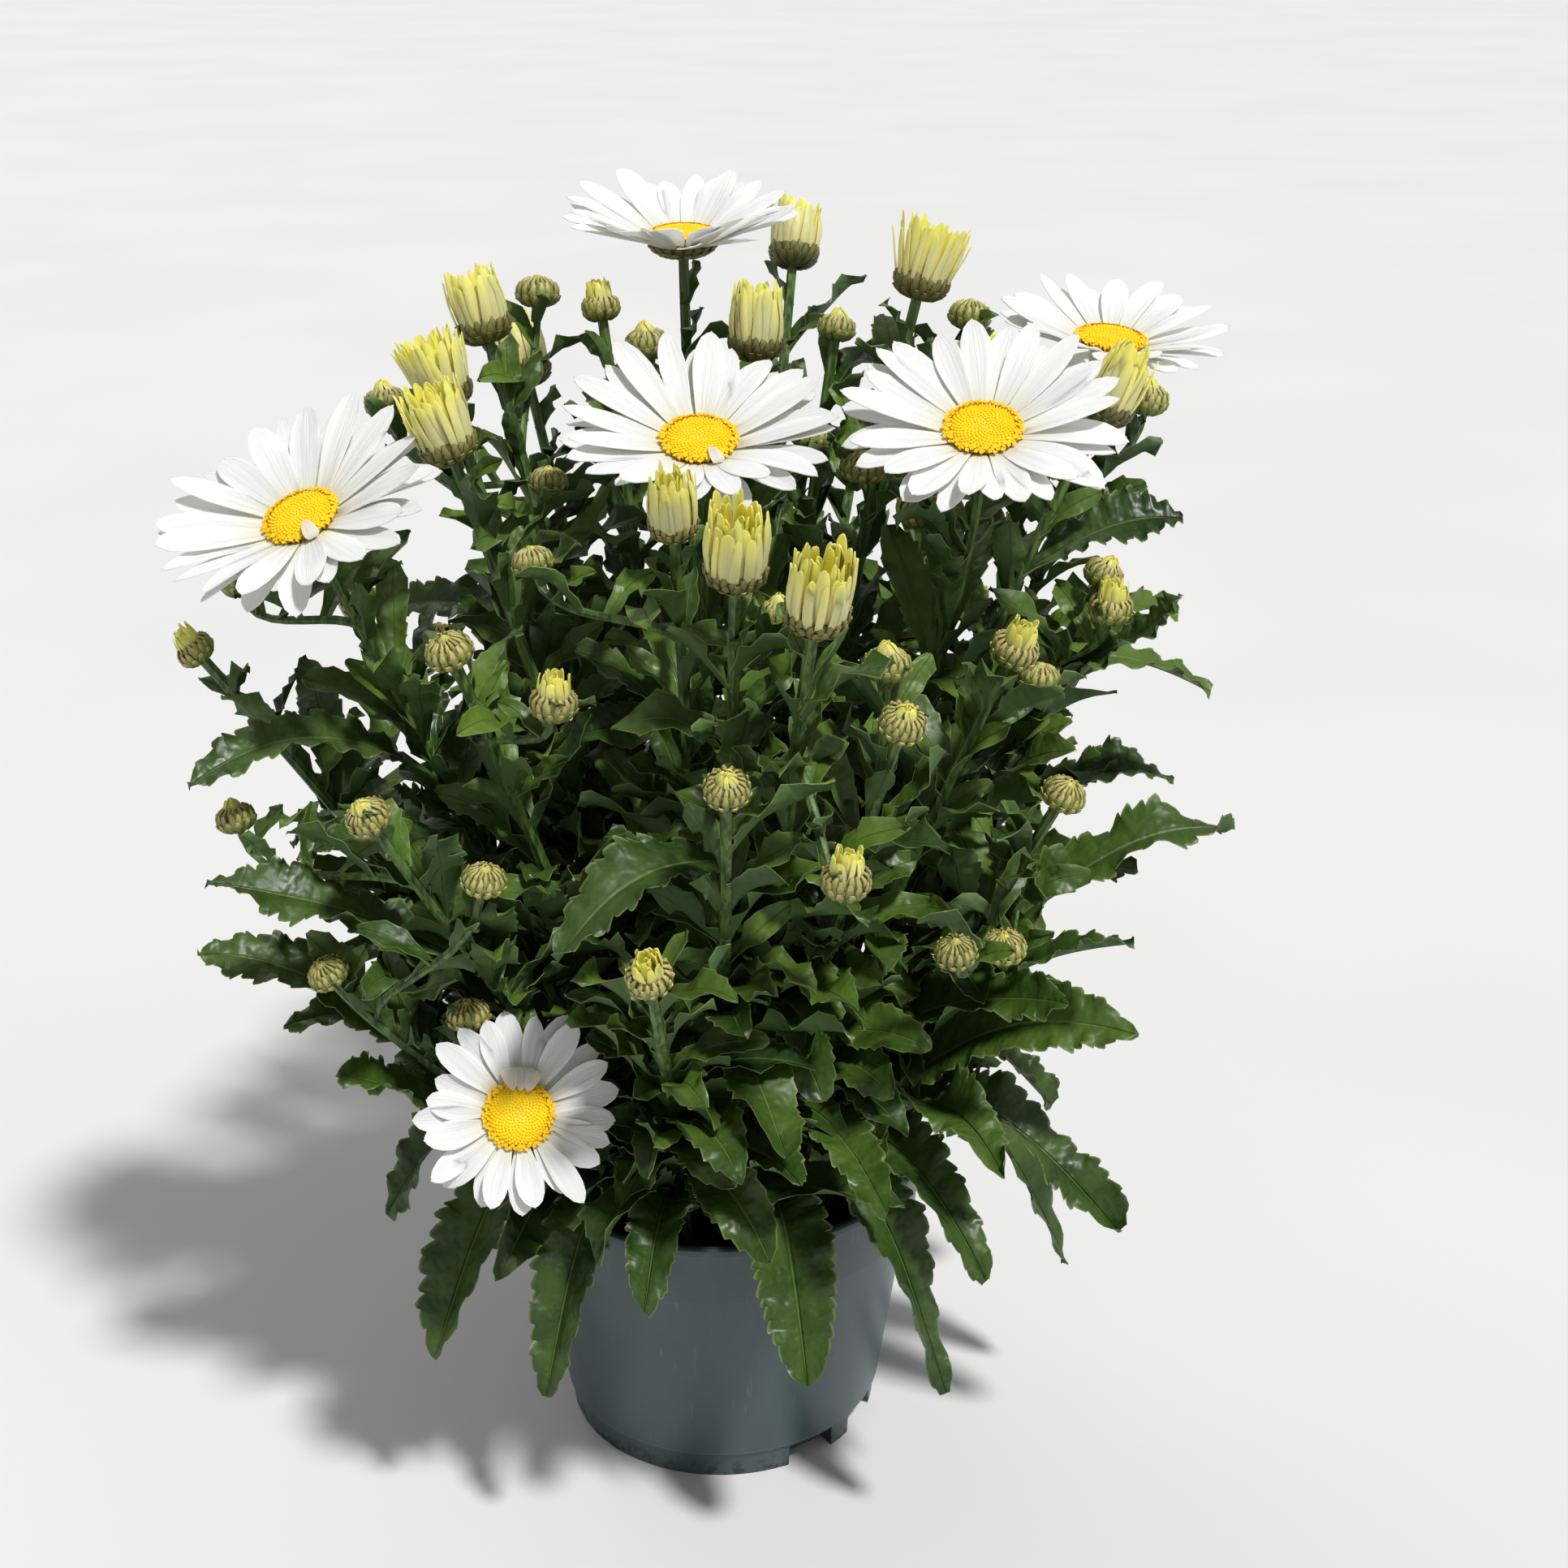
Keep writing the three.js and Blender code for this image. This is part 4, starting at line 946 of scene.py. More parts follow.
def makePot():
    base, rim, wall, foot, top = pot["baseRadius"], pot["rimRadius"], pot["wall"], pot["foot"], pot["height"]
    band = top - pot["band"]
    profile = (
        *pot["underside"], (base, 0), (base + 0.6, foot), (base + 2, foot + 1.2),
        (rim - 4.2, band), (rim - 2, band + 1), (rim - 0.45, top - 3.4), (rim, top - 2.8),
        (rim, top - 0.6), (rim - 0.7, top), (rim - 2.2, top), (rim - 2.8, top - 0.8),
        (rim - 4.2, band + 1), (rim - 4.4 - wall, band - 1), (base + 2 - wall, foot + 2), (base - wall, 5),
    )
    body = turned("nurseryPot", profile, pot["sides"])
    cutters = []
    for heading in pot["notchHeadings"]:
        turn, high = math.radians(heading), pot["notchHeight"]
        middle = (base * mm * math.cos(turn), base * mm * math.sin(turn), (high / 2 - 1) * mm)
        cutters.append(added(
            bpy.ops.mesh.primitive_cube_add, size=1, location=middle, rotation=(0, 0, turn),
            scale=(pot["notchDepth"] * mm, pot["notchWidth"] * mm, (high + 2) * mm)))
        bpy.ops.object.transform_apply(location=True, rotation=True, scale=True)
    cutter = joined("notchCutter", cutters)
    applyModifier(body, "BOOLEAN", object=cutter, operation="DIFFERENCE", solver="EXACT")
    bpy.data.objects.remove(cutter)
    applyModifier(body, "BEVEL", width=pot["bevel"] * mm, segments=2, limit_method="ANGLE",
                  angle_limit=math.radians(28))
    paint(body, finishes["pot"])
    finishPiece(body, "pot", 35)


makePot()
print("pot made")

# The soil: a plug with a lumpy top and crumbs scattered on it.
soil = {
    "floor": 5.3, "floorRadius": 50.7, "wallRadius": 61.6, "top": 90, "edge": 63, "sides": 64,
    "rings": 18, "ringStep": 3.5, "lump": 1.6, "crumbs": 620, "crumbSize": (0.7, 2.4),
    "squash": ((0.6, 1.2), (0.6, 1.2), (0.45, 0.9)),  # a crumb's length, width and height, in sizes
}


def soilHeight(x, y):  # mm, rough at two sizes
    wide, narrow = noise.noise((x * 0.06, y * 0.06, 3)), noise.noise((x * 0.25, y * 0.25, 7))
    return soil["lump"] * (wide + 0.5 * narrow)


def makeSoil():
    rings = [(soil["edge"] - soil["ringStep"] * i, soil["top"] - 1) for i in range(soil["rings"])]
    profile = [(soil["floorRadius"], soil["floor"]), (soil["wallRadius"], soil["top"] - 12), *rings]
    body = turned("pottingSoil", profile, soil["sides"])
    co = pointsOf(body) / mm
    for p in co:
        if p[2] > soil["top"] - 2:
            p[2] += soilHeight(p[0], p[1])
    setPoints(body, co * mm)
    paint(body, finishes["soil"])
    crumb = added(bpy.ops.mesh.primitive_ico_sphere_add, subdivisions=1, radius=mm)
    paint(crumb, finishes["soil"])
    chance = dice(41)
    parts = [body]
    for _ in range(soil["crumbs"]):
        a, r = 2 * math.pi * chance(), (soil["edge"] - 2) * math.sqrt(chance())
        size = mix(*soil["crumbSize"], chance() ** 3)
        squash = np.array([mix(*limits, chance()) for limits in soil["squash"]]) * size
        x, y = r * math.cos(a), r * math.sin(a)
        at = np.array([x, y, soil["top"] - 1 + soilHeight(x, y) + 0.25 * size])
        tilt = turnTo(leaning(50 * chance(), 360 * chance()))
        parts.append(copyBent(crumb, lambda p: (p / mm * squash) @ tilt.T + at, chance()))
    bpy.data.objects.remove(crumb)
    finishPiece(joined("pottingSoil", parts), "soil", 40)


makeSoil()
print("soil made")

stems = growPlant()
addSmallLeaves(stems)

# Each kind of leaf blade: its teeth a side, where the first starts, the outline of one tooth as pairs of
# share and width, the lines that run along the blade, how far the teeth lean forward, and how the blade
# is bent: its edges waved, raised, and the whole turned to face the front.
leafShapes = {
    "basal": {"teeth": 20, "first": 0.28, "tooth": ((0, 0.9), (0.3, 0.99), (0.66, 1.06), (0.88, 1.03)),
              "lines": (0, 0.12, 0.45, 0.8, 1), "sweep": 0.25, "taper": 0, "ruffle": 1.5,
              "arch": 0.17, "curl": 0.032, "raised": 0.3, "tilt": 0},
    "long": {"teeth": 19, "first": 0.2, "tooth": ((0, 0.9), (0.3, 0.98), (0.7, 1.07), (0.9, 1.03)),
             "lines": (0, 0.12, 0.45, 0.8, 1), "sweep": 0.3, "taper": -0.1, "ruffle": 1.2,
             "arch": 0.07, "curl": 0.018, "raised": 0.02, "tilt": 0.38},
    "low": {"teeth": 10, "first": 0.26, "tooth": ((0, 0.91), (0.65, 1.06)),
            "lines": (0, 0.55, 1), "sweep": 0.3, "taper": 0.1, "ruffle": 0.8,
            "arch": 0, "curl": 0.048, "raised": 0, "tilt": 0},
    "middle": {"teeth": 5, "first": 0.36, "tooth": ((0, 0.93), (0.65, 1.05)),
               "lines": (0, 0.5, 1), "sweep": 0.3, "taper": 0.1, "ruffle": 0.5,
               "arch": 0, "curl": 0.052, "raised": 0, "tilt": 0},
    "top": {"teeth": 2, "first": 0.45, "tooth": ((0, 1.0), (0.5, 1.03)),
            "lines": (0, 0.5, 1), "sweep": 0.1, "taper": 0, "ruffle": 0.3,
            "arch": 0, "curl": 0.052, "raised": 0, "tilt": 0},
}
blade = {
    "thickness": 0.55, "edge": 0.35, "groove": 0.3, "ridge": 0.7, "quilt": 0.12, "variants": 2,
    "lastTooth": 0.985, "tip": 0.997, "toothLength": (0.65, 1.35), "toothDepth": (0.3, 1.5),
    "untoothed": (0.35, 0.7), "ribWidth": 0.1, "ribFade": 0.7, "rootSwell": 1.5, "taperFrom": 0.82,
    "waves": (1.6, 3.4), "waveDepth": (0.4, 1.4),  # along one edge, and the share of the kind's curl
    "darkBelow": 240,                        # mm, the lower leaves are darker: partly as older leaves are, partly painted shade under the foliage above
}


def makeLeafMaster(name, seed):
    shape = leafShapes[name]
    chance = dice(seed)
    first, teeth, last = shape["first"], shape["teeth"], blade["lastTooth"]
    step = (last - first) / teeth
    long = np.array([mix(*blade["toothLength"], chance()) for _ in range(teeth)])
    starts = [0, *(first + (last - first) * np.append(0, np.cumsum(long)) / long.sum())]
    counts = [-first / step, *range(teeth + 1)]
    stops = [0, *(first * share for share in blade["untoothed"])]
    stops += [mix(starts[i + 1], starts[i + 2], q) for i in range(teeth) for q, _ in shape["tooth"]]
    stops += [last, blade["tip"]]
    sides = []
    for _ in range(2):  # no tooth is as deep as the next
        widths = [1, 1, 1]
        for _ in range(teeth):
            deep = mix(*blade["toothDepth"], chance())
            widths += [1 + (w - 1) * deep for _, w in shape["tooth"]]
        sides.append([*widths, 0.95, 1])
    lines = [-v for v in reversed(shape["lines"][1:])] + list(shape["lines"])
    ob = sheet(name + "Leaf", stops, lines, blade["thickness"])
    co = pointsOf(ob)
    u, v, z = co.T.copy()
    width = np.where(v > 0, np.interp(u, stops, sides[0]), np.interp(u, stops, sides[1]))
    phase = np.interp(u, starts, counts)
    out = np.abs(v)
    toothed = np.clip(phase * 4, 0, 1)
    upper = z > 0
    z = z * (1 - (1 - blade["edge"]) * out**4) * (1 + blade["rootSwell"] * np.clip(1 - u / first, 0, 1))
    rib = np.where(upper, -blade["groove"], -blade["ridge"] * (1 - blade["ribFade"] * u))
    z += rib * np.exp(-((out / blade["ribWidth"]) ** 2))
    z += blade["quilt"] * np.cos(2 * math.pi * (phase - 0.5 * out)) * 4 * out * (1 - out) * toothed
    z += shape["ruffle"] * np.sin(2 * math.pi * (0.37 * phase + 0.13)) * out**3 * toothed * np.sign(v)
    co[:, 0] = np.minimum(u + shape["sweep"] * step * (width - 0.97) * 4 * out**6, 0.9995)
    ending = 1 - shape["taper"] * smooth(np.clip((u - blade["taperFrom"]) / 0.17, 0, 1))
    co[:, 1] = v * (1 + (width - 1) * out**3) * ending
    co[:, 2] = z
    setPoints(ob, co)
    mapped = np.empty(len(ob.data.loops) * 2)
    ob.data.uv_layers[0].data.foreach_get("uv", mapped)
    mapped[::2] = np.interp(mapped[::2], starts, counts)
    ob.data.uv_layers[0].data.foreach_set("uv", mapped)
    paint(ob, finishes["leaf"])
    return ob


leafMasters = {name: [makeLeafMaster(name, 71 + i) for i in range(blade["variants"])] for name in leafShapes}

# A stalk is a ribbed tube along the stem's curve.
stalk = {"ribs": 7, "ribDepth": 0.8, "thinning": 0.75, "steps": 20, "branchSteps": 9}


def makeRibbedOutline():
    ob = added(bpy.ops.mesh.primitive_circle_add, vertices=2 * stalk["ribs"], radius=mm)
    ob.name = "ribbedOutline"
    co = pointsOf(ob)
    co[::2] *= stalk["ribDepth"]
    setPoints(ob, co)
    bpy.ops.object.convert(target="CURVE")
    return bpy.context.object


ribbedOutline = makeRibbedOutline()


def makeStalk(curve, radius, steps):
    ob = added(bpy.ops.curve.primitive_bezier_curve_add, radius=1)
    ends = ob.data.splines[0].bezier_points
    for end, places in zip(ends, ((0, 0, 1), (3, 2, 3))):
        end.handle_left_type = end.handle_right_type = "FREE"
        end.co, end.handle_left, end.handle_right = [curve[i] * mm for i in places]
    ends[0].radius, ends[1].radius = radius, radius * stalk["thinning"]
    ob.data.dimensions = "3D"
    ob.data.resolution_u = steps
    ob.data.bevel_mode = "OBJECT"
    ob.data.bevel_object = ribbedOutline
    ob.data.use_fill_caps = True
    bpy.ops.object.convert(target="MESH")
    ob = bpy.context.object
    paint(ob, finishes["stalk"])
    return ob


# The cream petals of an opening head: straps that stand in rings. A ring says how many there are, its
# radius at their roots and at their tips, the height of their roots, how long they are, and how yellow.
tuft = {
    "rings": ((16, 8.0, 7.2, 4.5, 19.5, 0.0), (13, 7.0, 6.4, 5, 21, 0.12),
              (9, 4.8, 4.8, 5, 20.5, 0.45), (5, 2.2, 2.6, 6, 18, 0.8)),
    "bow": (0.2, 0.9), "roll": (0.3, 1.0), "uneven": 0.25, "size": (0.86, 1.05), "thickness": 0.35,
    "overlap": 1.5, "wide": (0.75, 1.15), "stray": 1.6, "tipCurl": 1.4, "twist": 0.5,
    "shape": ((0, 0.95), (0.3, 1.0), (0.7, 0.92), (0.88, 0.74), (1, 0.36)),
    "flare": {6: 0.8, 7: 2.4, 8: 1.6, 9: 0.3, 11: 3.4, 13: 0, 14: 0.6, 15: 0.2},  # mm, by how much it opens
    "own": {13: 0.8},                        # a head that is smaller than the others
}


def makeStrap(name, alongLines, acrossLines):
    return shapedSheet(name, alongLines, acrossLines, tuft["thickness"], "cream", lambda u, v, z: (
        u * (1 - 0.05 * np.abs(v) ** 2), v, z))


strap = makeStrap("strap", (0, 0.3, 0.55, 0.78, 0.92, 1), (-1, -0.5, 0, 0.5, 1))
shortStrap = makeStrap("shortStrap", (0, 0.4, 0.75, 0.92, 1), (-1, 0, 1))  # for a bud


def standStraps(master, rings, chance, move, flare=0.0):  # straps round an axis, each put in place by move
    parts = []
    for count, root, top, foot, long, yellow in rings:
        for i in range(count):
            a = 2 * math.pi * (i + 0.5 * (chance() - 0.5)) / count
            height = long * (1 - tuft["uneven"] * chance())
            bow, roll = mix(*tuft["bow"], chance()) * root / 6, mix(*tuft["roll"], chance())
            wide = tuft["overlap"] * math.pi * root / count * mix(*tuft["wide"], chance())
            end = top + (flare + tuft["stray"] * (chance() - 0.5)) * root / 6
            curl = tuft["tipCurl"] * (chance() - 0.5) * root / 6
            twist = tuft["twist"] * (chance() - 0.5)

            def place(co):
                u, v, z = co.T
                across = roll * v
                girth = wide * np.interp(u, *zip(*tuft["shape"])) / max(roll, 0.9) + z
                side = girth * np.sin(across)
                out = mix(root, end, u**1.5) + bow * np.sin(math.pi * u) + curl * u**5
                out += z - girth * (1 - np.cos(across))
                c, s = np.cos(a + twist * u), np.sin(a + twist * u)
                return move(np.stack([out * c + side * s, out * s - side * c, foot + height * u], axis=1))
            parts.append(copyBent(master, place, yellow + 0.3 * chance()))
    return parts


# Heads: a closed bud, one that shows its petals, one that opens, the cup of a tuft and the shallow cup under
# a bloom, each a round body covered by rows of long ribbed bracts. A row says how many it has, which part
# of the profile it covers and how far its tips stand off. The straps are given as the rings of a tuft are.
heads = {
    "bud": {
        "profile": ((1.7, 0), (4.4, 0.4), (6.3, 2.1), (6.5, 4.1), (5.6, 6.2), (3.6, 7.5), (1, 8)),
        "rows": ((12, 0.08, 0.46, 0.3), (15, 0.14, 0.68, 0.3), (17, 0.24, 0.92, 0.4)),
        "straps": ((8, 2.2, 0.6, 6.8, 2.7, 0.1),),
    },
    "paleBud": {
        "profile": ((1.7, 0), (4.2, 0.4), (6.0, 2.1), (6.3, 4.4), (5.6, 6.6), (3.8, 7.6), (1, 8)),
        "rows": ((12, 0.08, 0.46, 0.3), (15, 0.14, 0.66, 0.3), (17, 0.24, 0.84, 0.5)),
        "straps": ((9, 3.4, 1.2, 7.0, 4.2, 0.12), (5, 1.5, 0.5, 7.2, 4.6, 0.35)),
    },
    "openingBud": {
        "profile": ((1.7, 0), (4.2, 0.4), (6.0, 2.1), (6.4, 4.4), (5.9, 6.6), (4.4, 7.2), (1, 7.2)),
        "rows": ((12, 0.08, 0.46, 0.3), (15, 0.14, 0.64, 0.4), (17, 0.24, 0.76, 0.8)),
        "straps": ((11, 4.6, 4.3, 6.6, 7.6, 0.08), (7, 3.0, 2.7, 6.6, 8.4, 0.3), (3, 1.1, 0.9, 6.6, 8, 0.5)),
    },
    "cup": {
        "profile": ((1.7, 0), (4.8, 0.4), (7.2, 2), (8.3, 4.3), (8.1, 6.8), (7.6, 7.0), (6.8, 6.0), (3, 5.8)),
        "rows": ((14, 0.06, 0.42, 0.3), (17, 0.12, 0.57, 0.3), (20, 0.2, 0.69, 0.3)), "straps": (),
    },
    "bowl": {
        "profile": ((1.7, 0), (6.2, 0.7), (9.4, 2), (11.1, 3.6), (11, 4.3), (8, 4.4)),
        "rows": ((14, 0.12, 0.5, 0.3), (17, 0.26, 0.66, 0.3), (20, 0.4, 0.84, 0.3)), "straps": (),
    },
}
scaleLines = {"along": (0, 0.4, 0.78, 1), "width": (0.9, 1.0, 0.85, 0.36), "thickness": 0.4, "rib": 0.45}


def bractShape(u, v, z):  # thicker along its middle
    rib = np.where(np.abs(v) < 0.5, scaleLines["rib"], 0) * (1 - 0.6 * u)
    return u, v * np.interp(u, scaleLines["along"], scaleLines["width"]), z + rib


bract = shapedSheet("bract", scaleLines["along"], (-1, 0, 1), scaleLines["thickness"], "bract", bractShape)


def onProfile(profile, share, angle, lift):  # a place over a round body, by the share of its profile
    r, z = np.array(profile, float).T
    run = np.append(0, np.cumsum(np.hypot(np.diff(r), np.diff(z))))
    at = share * run[-1]
    step = 0.02 * run[-1]
    radius, height = np.interp(at, run, r), np.interp(at, run, z)
    dr = np.interp(at + step, run, r) - np.interp(at - step, run, r)
    dz = np.interp(at + step, run, z) - np.interp(at - step, run, z)
    long = np.hypot(dr, dz) + 1e-9
    radius, height = radius + lift * dz / long, height - lift * dr / long
    return np.stack([radius * np.cos(angle), radius * np.sin(angle), height], axis=1)


def makeHead(name, seed):
    head = heads[name]
    chance = dice(seed)
    body = turned(name + "Body", head["profile"], 20)
    paint(body, finishes["bract"])
    body.data.uv_layers[0].data.foreach_set("uv", np.tile((0.3, 0.5), len(body.data.loops)))
    parts = [body]
    for depth, (count, low, high, stand) in enumerate(head["rows"]):
        half = math.pi / count * 1.12
        for i in range(count):
            turn = 2 * math.pi * (i + 0.5 * depth + 0.25 * (chance() - 0.5)) / count
            top = high + 0.07 * (chance() - 0.5)
            off, lean = stand * (0.5 + chance()), 0.35 * (chance() - 0.5) * half
            layer = 0.5 - 0.15 * depth
            parts.append(copyBent(bract, lambda co: onProfile(
                head["profile"], low + (top - low) * co[:, 0], turn - half * co[:, 1] + lean * co[:, 0],
                layer + co[:, 2] + off * co[:, 0] ** 3 - 0.3 * np.abs(co[:, 1])), chance()))
    parts += standStraps(shortStrap, head["straps"], chance, lambda points: points)
    ob = joined(name + "Head", parts)
    outwards(ob)
    return ob


headMasters = {name: makeHead(name, 11 + 12 * i) for i, name in enumerate(heads)}
print("leaf, stalk and bud masters made")

# How the buds differ: how brown they and the cups are, their sizes, and the share at each stage, summed up.
budMix = {
    "tone": (0.5, 0.9), "cupTone": (0.1, 0.35), "size": (0.84, 1.02),
    "stages": (("bud", 0.3), ("paleBud", 0.7), ("openingBud", 1)),
}


def makeStem(stem):
    chance = dice(3000 + stem["index"])
    tubes = [makeStalk(stem["curve"], growth["stemRadius"], stalk["steps"])]
    tubes += [makeStalk(b["curve"], growth["branchRadius"], stalk["branchSteps"]) for b in stem["branches"]]
    parts = [joined("stalks", tubes)]
    outwards(parts[0])
    for leaf in stem["leaves"]:
        curl = [2 * math.pi * chance() for _ in range(3)]
        shape = leafShapes[leaf["shape"]]
        pitch = mix(*blade["waves"], chance())
        depth = shape["curl"] * leaf["length"] * mix(*blade["waveDepth"], chance())
        arch = shape["arch"] * np.append(leaf["knee"][:2] - leaf["root"][:2], leaf["length"])
        tilt = shape["tilt"] * -leaf["across"][1]

        def place(co):  # the blade with its edges waved, each side in its own rhythm
            u, v, z = co.T
            side = np.where(v > 0, curl[0], curl[1])
            wave = depth * np.sin(2 * math.pi * pitch * u + side) * v * v * np.minimum(1, 4 * u)
            wave += 0.5 * depth * np.sin(2 * math.pi * 1.2 * u + curl[2]) * u
            wave += halfWidth(leaf, u) * (shape["raised"] * np.abs(v) + tilt * v)
            return keptInside(onLeaf(leaf, u, -v, z + wave) + np.outer(np.sin(math.pi * u), arch))
        kinds = leafMasters[leaf["shape"]]
        # lower leaves get less of the young colour: their age, and painted shade under the foliage above
        ageAndShade = np.clip(leaf["tip"][2] / blade["darkBelow"] - 0.2, 0.2, 1)
        parts.append(copyBent(kinds[int(chance() * len(kinds))], place, ageAndShade * chance()))
    kind = {"bud": "bud", "tuft": "cup", "bloom": "bowl"}[stem["head"]]
    ends = [(kind, stem["at"], stem["facing"])]
    ends += [("bud", b["curve"][3], b["facing"]) for b in stem["branches"]]
    for kind, at, facing in ends:
        scale, tone = tuft["own"].get(stem["index"], 1.0), mix(*budMix["cupTone"], chance())
        if kind == "bud":
            tone = mix(*budMix["tone"], chance())
            stage = chance()
            kind = next(name for name, below in budMix["stages"] if stage < below)
            scale = mix(*budMix["size"], chance())
        parts.append(copyTurned(headMasters[kind], at, facing, 2 * math.pi * chance(), scale, tone))
    finishPiece(joined("leafyStem" + stem["number"], parts), "stem_" + stem["number"], 60)


for stem in stems:
    makeStem(stem)
print("stems made")

# The blooms: strap petals in two layers round a disc of florets.
petals = {
    "foot": 9.0, "width": 4.5, "thickness": 0.35, "groove": 0.35, "lift": 5.1,
    "layers": ((4, 0.9), (-3, 0.0)),         # how much steeper and higher the upper and the lower layer are
    "tiltSpread": 11, "sway": 5, "roll": 0.7, "channel": (-0.2, 1.2),
    "droop": (4, 9), "drooping": 0.12,       # mm, and the share of petals that droop so far
    "long": (0.9, 1.02), "smallLong": (0.86, 1.06), "wide": (0.86, 1.14),  # in reaches and in widths
    "fold": ((1.9, 2.8), (3, 5), (3, 4.2)),  # mm, a folded one's half width, how far back it goes, how high
    "count": {"wide": 33, "small": 25},      # a bloom that reaches less than smallReach has fewer
    "smallReach": 36, "folded": {1: (-66,), 2: (-64,), 5: (74, 90, 108)},  # headings, in degrees
    "along": (0, 0.08, 0.18, 0.3, 0.42, 0.54, 0.66, 0.77, 0.86, 0.93, 0.975, 1),
    "across": (-1, -0.7, -0.35, 0, 0.35, 0.7, 1),
    "shape": ((0, 0.36), (0.2, 0.62), (0.42, 0.9), (0.58, 1.0), (0.76, 0.9), (0.9, 0.6), (1, 0.22)),
}


def petalShape(u, v, z):  # two long grooves, and three blunt teeth at the tip
    out = np.abs(v)
    u = u * np.interp(out, (0, 0.35, 0.7, 1), (0.995, 0.975, 0.965, 0.9))
    groove = np.exp(-(((out - 0.35) / 0.14) ** 2)) * np.sin(math.pi * np.clip(u * 1.05, 0, 1))
    return u, v * np.interp(u, *zip(*petals["shape"])), z - petals["groove"] * groove


petalMaster = shapedSheet(
    "petal", petals["along"], petals["across"], petals["thickness"], "petal", petalShape)


def makePetals(stem):
    chance = dice(4000 + stem["index"])
    parts = []
    foot, reach = petals["foot"], stem["reach"]
    turn = turnTo(stem["facing"])
    at = stem["at"] + stem["facing"] * petals["lift"]
    isSmall = reach < petals["smallReach"]
    count = petals["count"]["small" if isSmall else "wide"]

    def around(a, r, side, lift):  # from round the bloom's axis to the plant's frame
        c, s = math.cos(a), math.sin(a)
        return keptInside(np.stack([r * c - side * s, r * s + side * c, lift], axis=1) @ turn.T + at)

    for i in range(count):
        steeper, base = petals["layers"][i % 2]
        a = 2 * math.pi * (i + 0.8 * (chance() - 0.5)) / count
        tilt = math.radians(stem["cup"] + steeper + petals["tiltSpread"] * (chance() - 0.5))
        if isSmall:
            long = reach * mix(*petals["smallLong"], chance()) - foot
        else:
            long = reach * mix(*petals["long"], math.sqrt(chance())) - foot
        wide = petals["width"] * mix(*petals["wide"], chance()) * math.sqrt(reach / 40)
        droop = mix(*petals["droop"], chance()) if chance() < petals["drooping"] else 2 * chance()
        sway, roll = petals["sway"] * (chance() - 0.5), petals["roll"] * (chance() - 0.5)
        channel = mix(*petals["channel"], chance())

        def place(co):
            u, v, z = co.T
            r = foot + long * u
            lift = base + z + (r - 12) * math.tan(tilt) - droop * u**3
            lift += channel * v * v + wide * v * np.sin(roll * u)
            return around(a, r, wide * v + sway * u * u, lift)
        parts.append(copyBent(petalMaster, place, 10 * chance()))
    for heading in petals["folded"].get(stem["index"], ()):  # short ones folded back over the disc's edge
        a = math.radians(heading)
        wide, back, high = [mix(*limits, chance()) for limits in petals["fold"]]

        def foldOver(co):
            u, v, z = co.T
            r = foot + 2.6 + 3 * np.sin(math.pi * u) - back * u * u
            return around(a, r - z * u, wide * v, 1.2 + high * np.sin(0.5 * math.pi * u) + z * (1 - u))
        parts.append(copyBent(petalMaster, foldOver, 10 * chance()))
    piece = joined("bloomPetals" + stem["number"], parts)
    finishPiece(piece, "petals_" + stem["number"], 60)


# Florets on a low dome with a dimple, the open ones from a share of its radius outwards. The dome's rings
# are shares of its radius, and each floret is a round shape, given by radius and height.
disc = {
    "radius": 11.3, "height": 3.7, "lift": 5.5, "florets": 380, "open": 0.86, "size": 0.8, "smallScale": 0.9,
    "rings": (0.985, 0.93, 0.82, 0.68, 0.52, 0.36, 0.2, 0.08), "footRadius": 9.4,
    "dimple": 0.9, "dimpleWidth": 0.3, "sunk": 0.6, "turn": 137.5078,  # degrees from floret to floret
    "closedFloret": ((0.44, -0.4), (0.56, 0.35), (0.3, 0.7)),
    "openFloret": ((0.3, -0.6), (0.4, 0.6), (0.95, 1.25), (0.35, 0.9)), "notch": 0.55, "notchDrop": 0.25,
}


def makeFlorets():  # a closed floret for the middle and an open one with pointed lobes for the rim
    closed = turned("closedFloret", disc["closedFloret"], 6)
    wide = turned("openFloret", disc["openFloret"], 10)
    co = pointsOf(wide) / mm
    for p in co:
        out = math.hypot(p[0], p[1])
        if out > 0.8 and round(math.degrees(math.atan2(p[1], p[0])) / 36) % 2:
            p[:2] *= disc["notch"]
            p[2] -= disc["notchDrop"]
    setPoints(wide, co * mm)
    for ob in (closed, wide):
        paint(ob, finishes["disc"])
    return closed, wide


closedFloret, openFloret = makeFlorets()


def discHeight(r):  # the dome, low at the rim and with a dimple in the middle
    share = r / disc["radius"]
    dome = disc["height"] * math.sqrt(max(0.06, 1 - 0.8 * share**2))
    return dome - disc["dimple"] * math.exp(-((share / disc["dimpleWidth"]) ** 2)) - disc["sunk"]


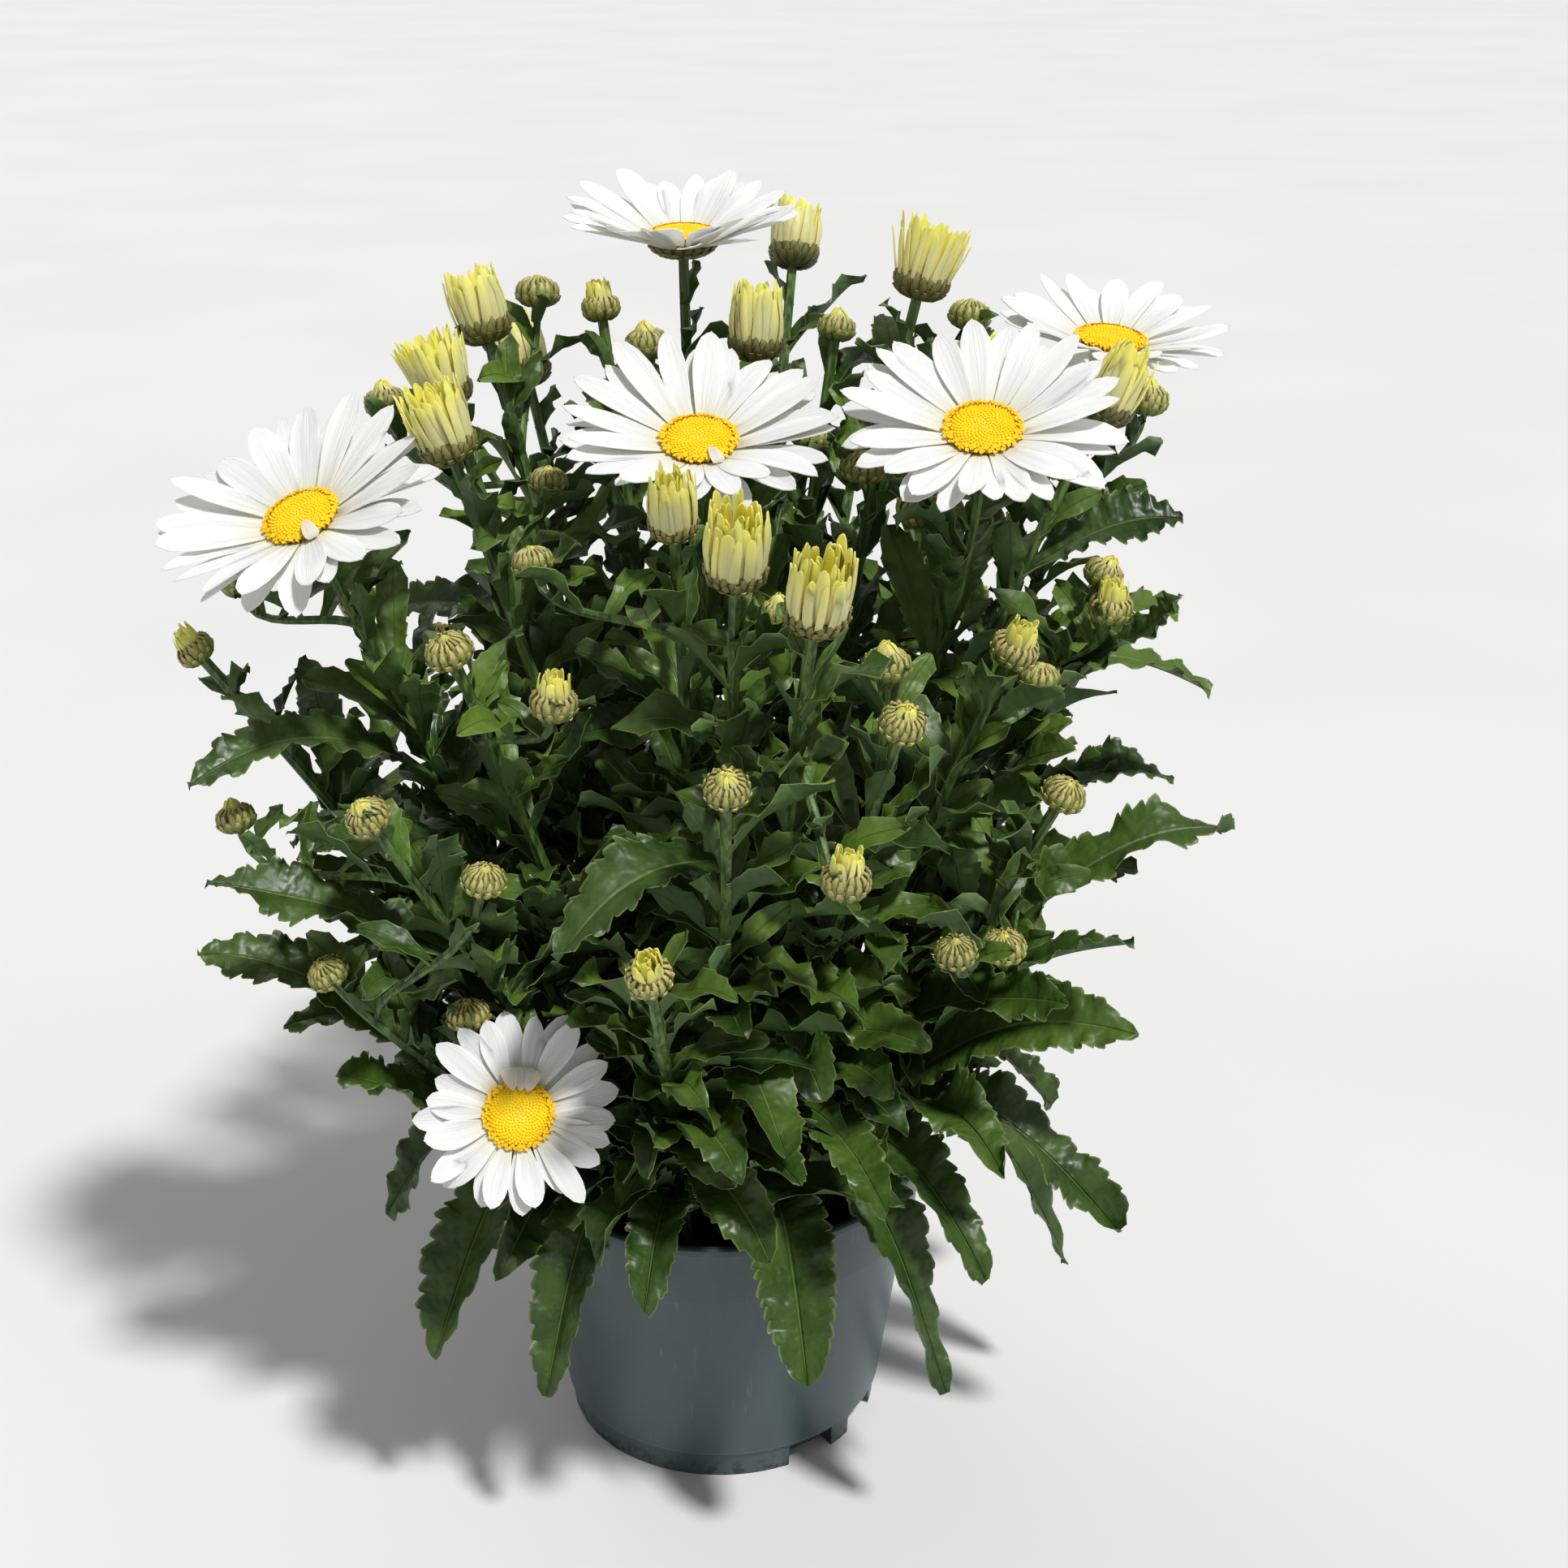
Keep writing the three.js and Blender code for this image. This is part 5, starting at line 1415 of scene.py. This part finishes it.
def makeDiscMaster(seed):
    chance = dice(seed)
    radii = [disc["radius"] * share for share in disc["rings"]]
    core = turned("discCore", ((disc["footRadius"], 0), *[(r, discHeight(r)) for r in radii]), 32)
    paint(core, finishes["disc"])
    parts = [core]
    for i in range(disc["florets"]):
        share = math.sqrt((i + 0.5) / disc["florets"])
        r = share * disc["radius"]
        a = math.radians(disc["turn"]) * i
        slope = (discHeight(r - 0.1) - discHeight(r + 0.1)) / 0.2
        facing = leaning(math.degrees(math.atan(slope)) * 0.8, math.degrees(a))
        at = np.array([r * math.cos(a), r * math.sin(a), discHeight(r)])
        floret = openFloret if share > disc["open"] else closedFloret
        scale = disc["size"] * mix(0.8, 1.1, share) * (0.9 + 0.2 * chance())
        parts.append(copyTurned(floret, at, facing, 6.28 * chance(), scale, share))
    coreCount = len(core.data.vertices)
    ob = joined("discMaster", parts)
    tones = np.hypot(*(pointsOf(ob) / mm).T[:2]) / disc["radius"]
    tones[:coreCount][tones[:coreCount] > 0.9] = 2  # painted shade between the open florets
    return ob, tones.astype(np.float32)


discMaster, discTones = makeDiscMaster(61)


def makeDisc(stem):
    chance = dice(5000 + stem["index"])
    at = stem["at"] + stem["facing"] * disc["lift"]
    scale = disc["smallScale"] if stem["reach"] < petals["smallReach"] else 1
    piece = copyTurned(discMaster, at, stem["facing"], 6.28 * chance(), scale)
    piece.data.attributes["tone"].data.foreach_set("value", discTones)
    piece.name = "bloomDisc" + stem["number"]
    finishPiece(piece, "disc_" + stem["number"], 40)


def makeTuft(stem):
    chance = dice(6000 + stem["index"])
    turn = turnTo(stem["facing"])
    own = tuft["own"].get(stem["index"], 1.0)
    sizes = np.array([own, own, own * mix(*tuft["size"], chance())])
    flare = tuft["flare"].get(stem["index"], 2 * chance() - 0.5)
    parts = standStraps(
        strap, tuft["rings"], chance, lambda points: keptInside(points * sizes @ turn.T + stem["at"]), flare)
    piece = joined("creamTuft" + stem["number"], parts)
    outwards(piece)
    finishPiece(piece, "tuft_" + stem["number"], 60)


for stem in stems:
    if stem["head"] == "bloom":
        makePetals(stem)
        makeDisc(stem)
    if stem["head"] == "tuft":
        makeTuft(stem)
print("blooms and tufts made")

for master in (*sum(leafMasters.values(), []), *headMasters.values(), ribbedOutline, bract, petalMaster,
               closedFloret, openFloret, discMaster, strap, shortStrap):
    bpy.data.objects.remove(master)

# Floor, light and camera.
studio = {
    "floor": 60, "floorColour": colour(0.67, 0.67, 0.665), "floorCloud": colour(0.65, 0.65, 0.645),
    "world": 0.33, "cloudScale": 3,
    "sun": {"heading": -52, "height": 59, "strength": 3.4, "softness": 6},  # degrees, and as wide as it looks
    "back": {"heading": 125, "height": 40, "strength": 0.4, "softness": 30},
}
camera = {"place": (0.022, -0.682, 0.518), "pitch": 22.6, "lens": 52.17}


def makeFloorMaterial():
    m, shader = newMaterial("floorPale", 0.7, 0.3)
    cloud = between(m, grain(m, studio["cloudScale"], 1), 0.3, 0.7)
    connect(m, blendColours(m, cloud, studio["floorColour"], studio["floorCloud"]), shader, "Base Color")
    return m


def makeLight(name):
    light = studio[name]
    heading, height = math.radians(light["heading"]), math.radians(light["height"])
    ob = added(bpy.ops.object.light_add, type="SUN", location=(math.cos(heading), math.sin(heading), 1.5),
               rotation=(0, math.radians(90) - height, heading))
    ob.name = name + "Light"
    ob.data.energy = light["strength"]
    ob.data.angle = math.radians(light["softness"])


def makeStudio():
    floor = added(bpy.ops.mesh.primitive_plane_add, size=studio["floor"], location=(0, 0, 0))
    floor.name = "paleFloor"
    paint(floor, makeFloorMaterial())
    world = bpy.data.worlds.new("studioWorld")
    world.use_nodes = True
    sky = world.node_tree.nodes["Background"].inputs
    sky["Color"].default_value, sky["Strength"].default_value = colour(1, 1, 1), studio["world"]
    bpy.context.scene.world = world
    makeLight("sun")
    makeLight("back")
    eye = added(bpy.ops.object.camera_add, location=camera["place"],
                rotation=(math.radians(90 - camera["pitch"]), 0, 0))
    eye.data.lens = camera["lens"]
    bpy.context.scene.camera = eye
    bpy.context.scene.view_settings.view_transform = "Standard"


makeStudio()
print("studio made")
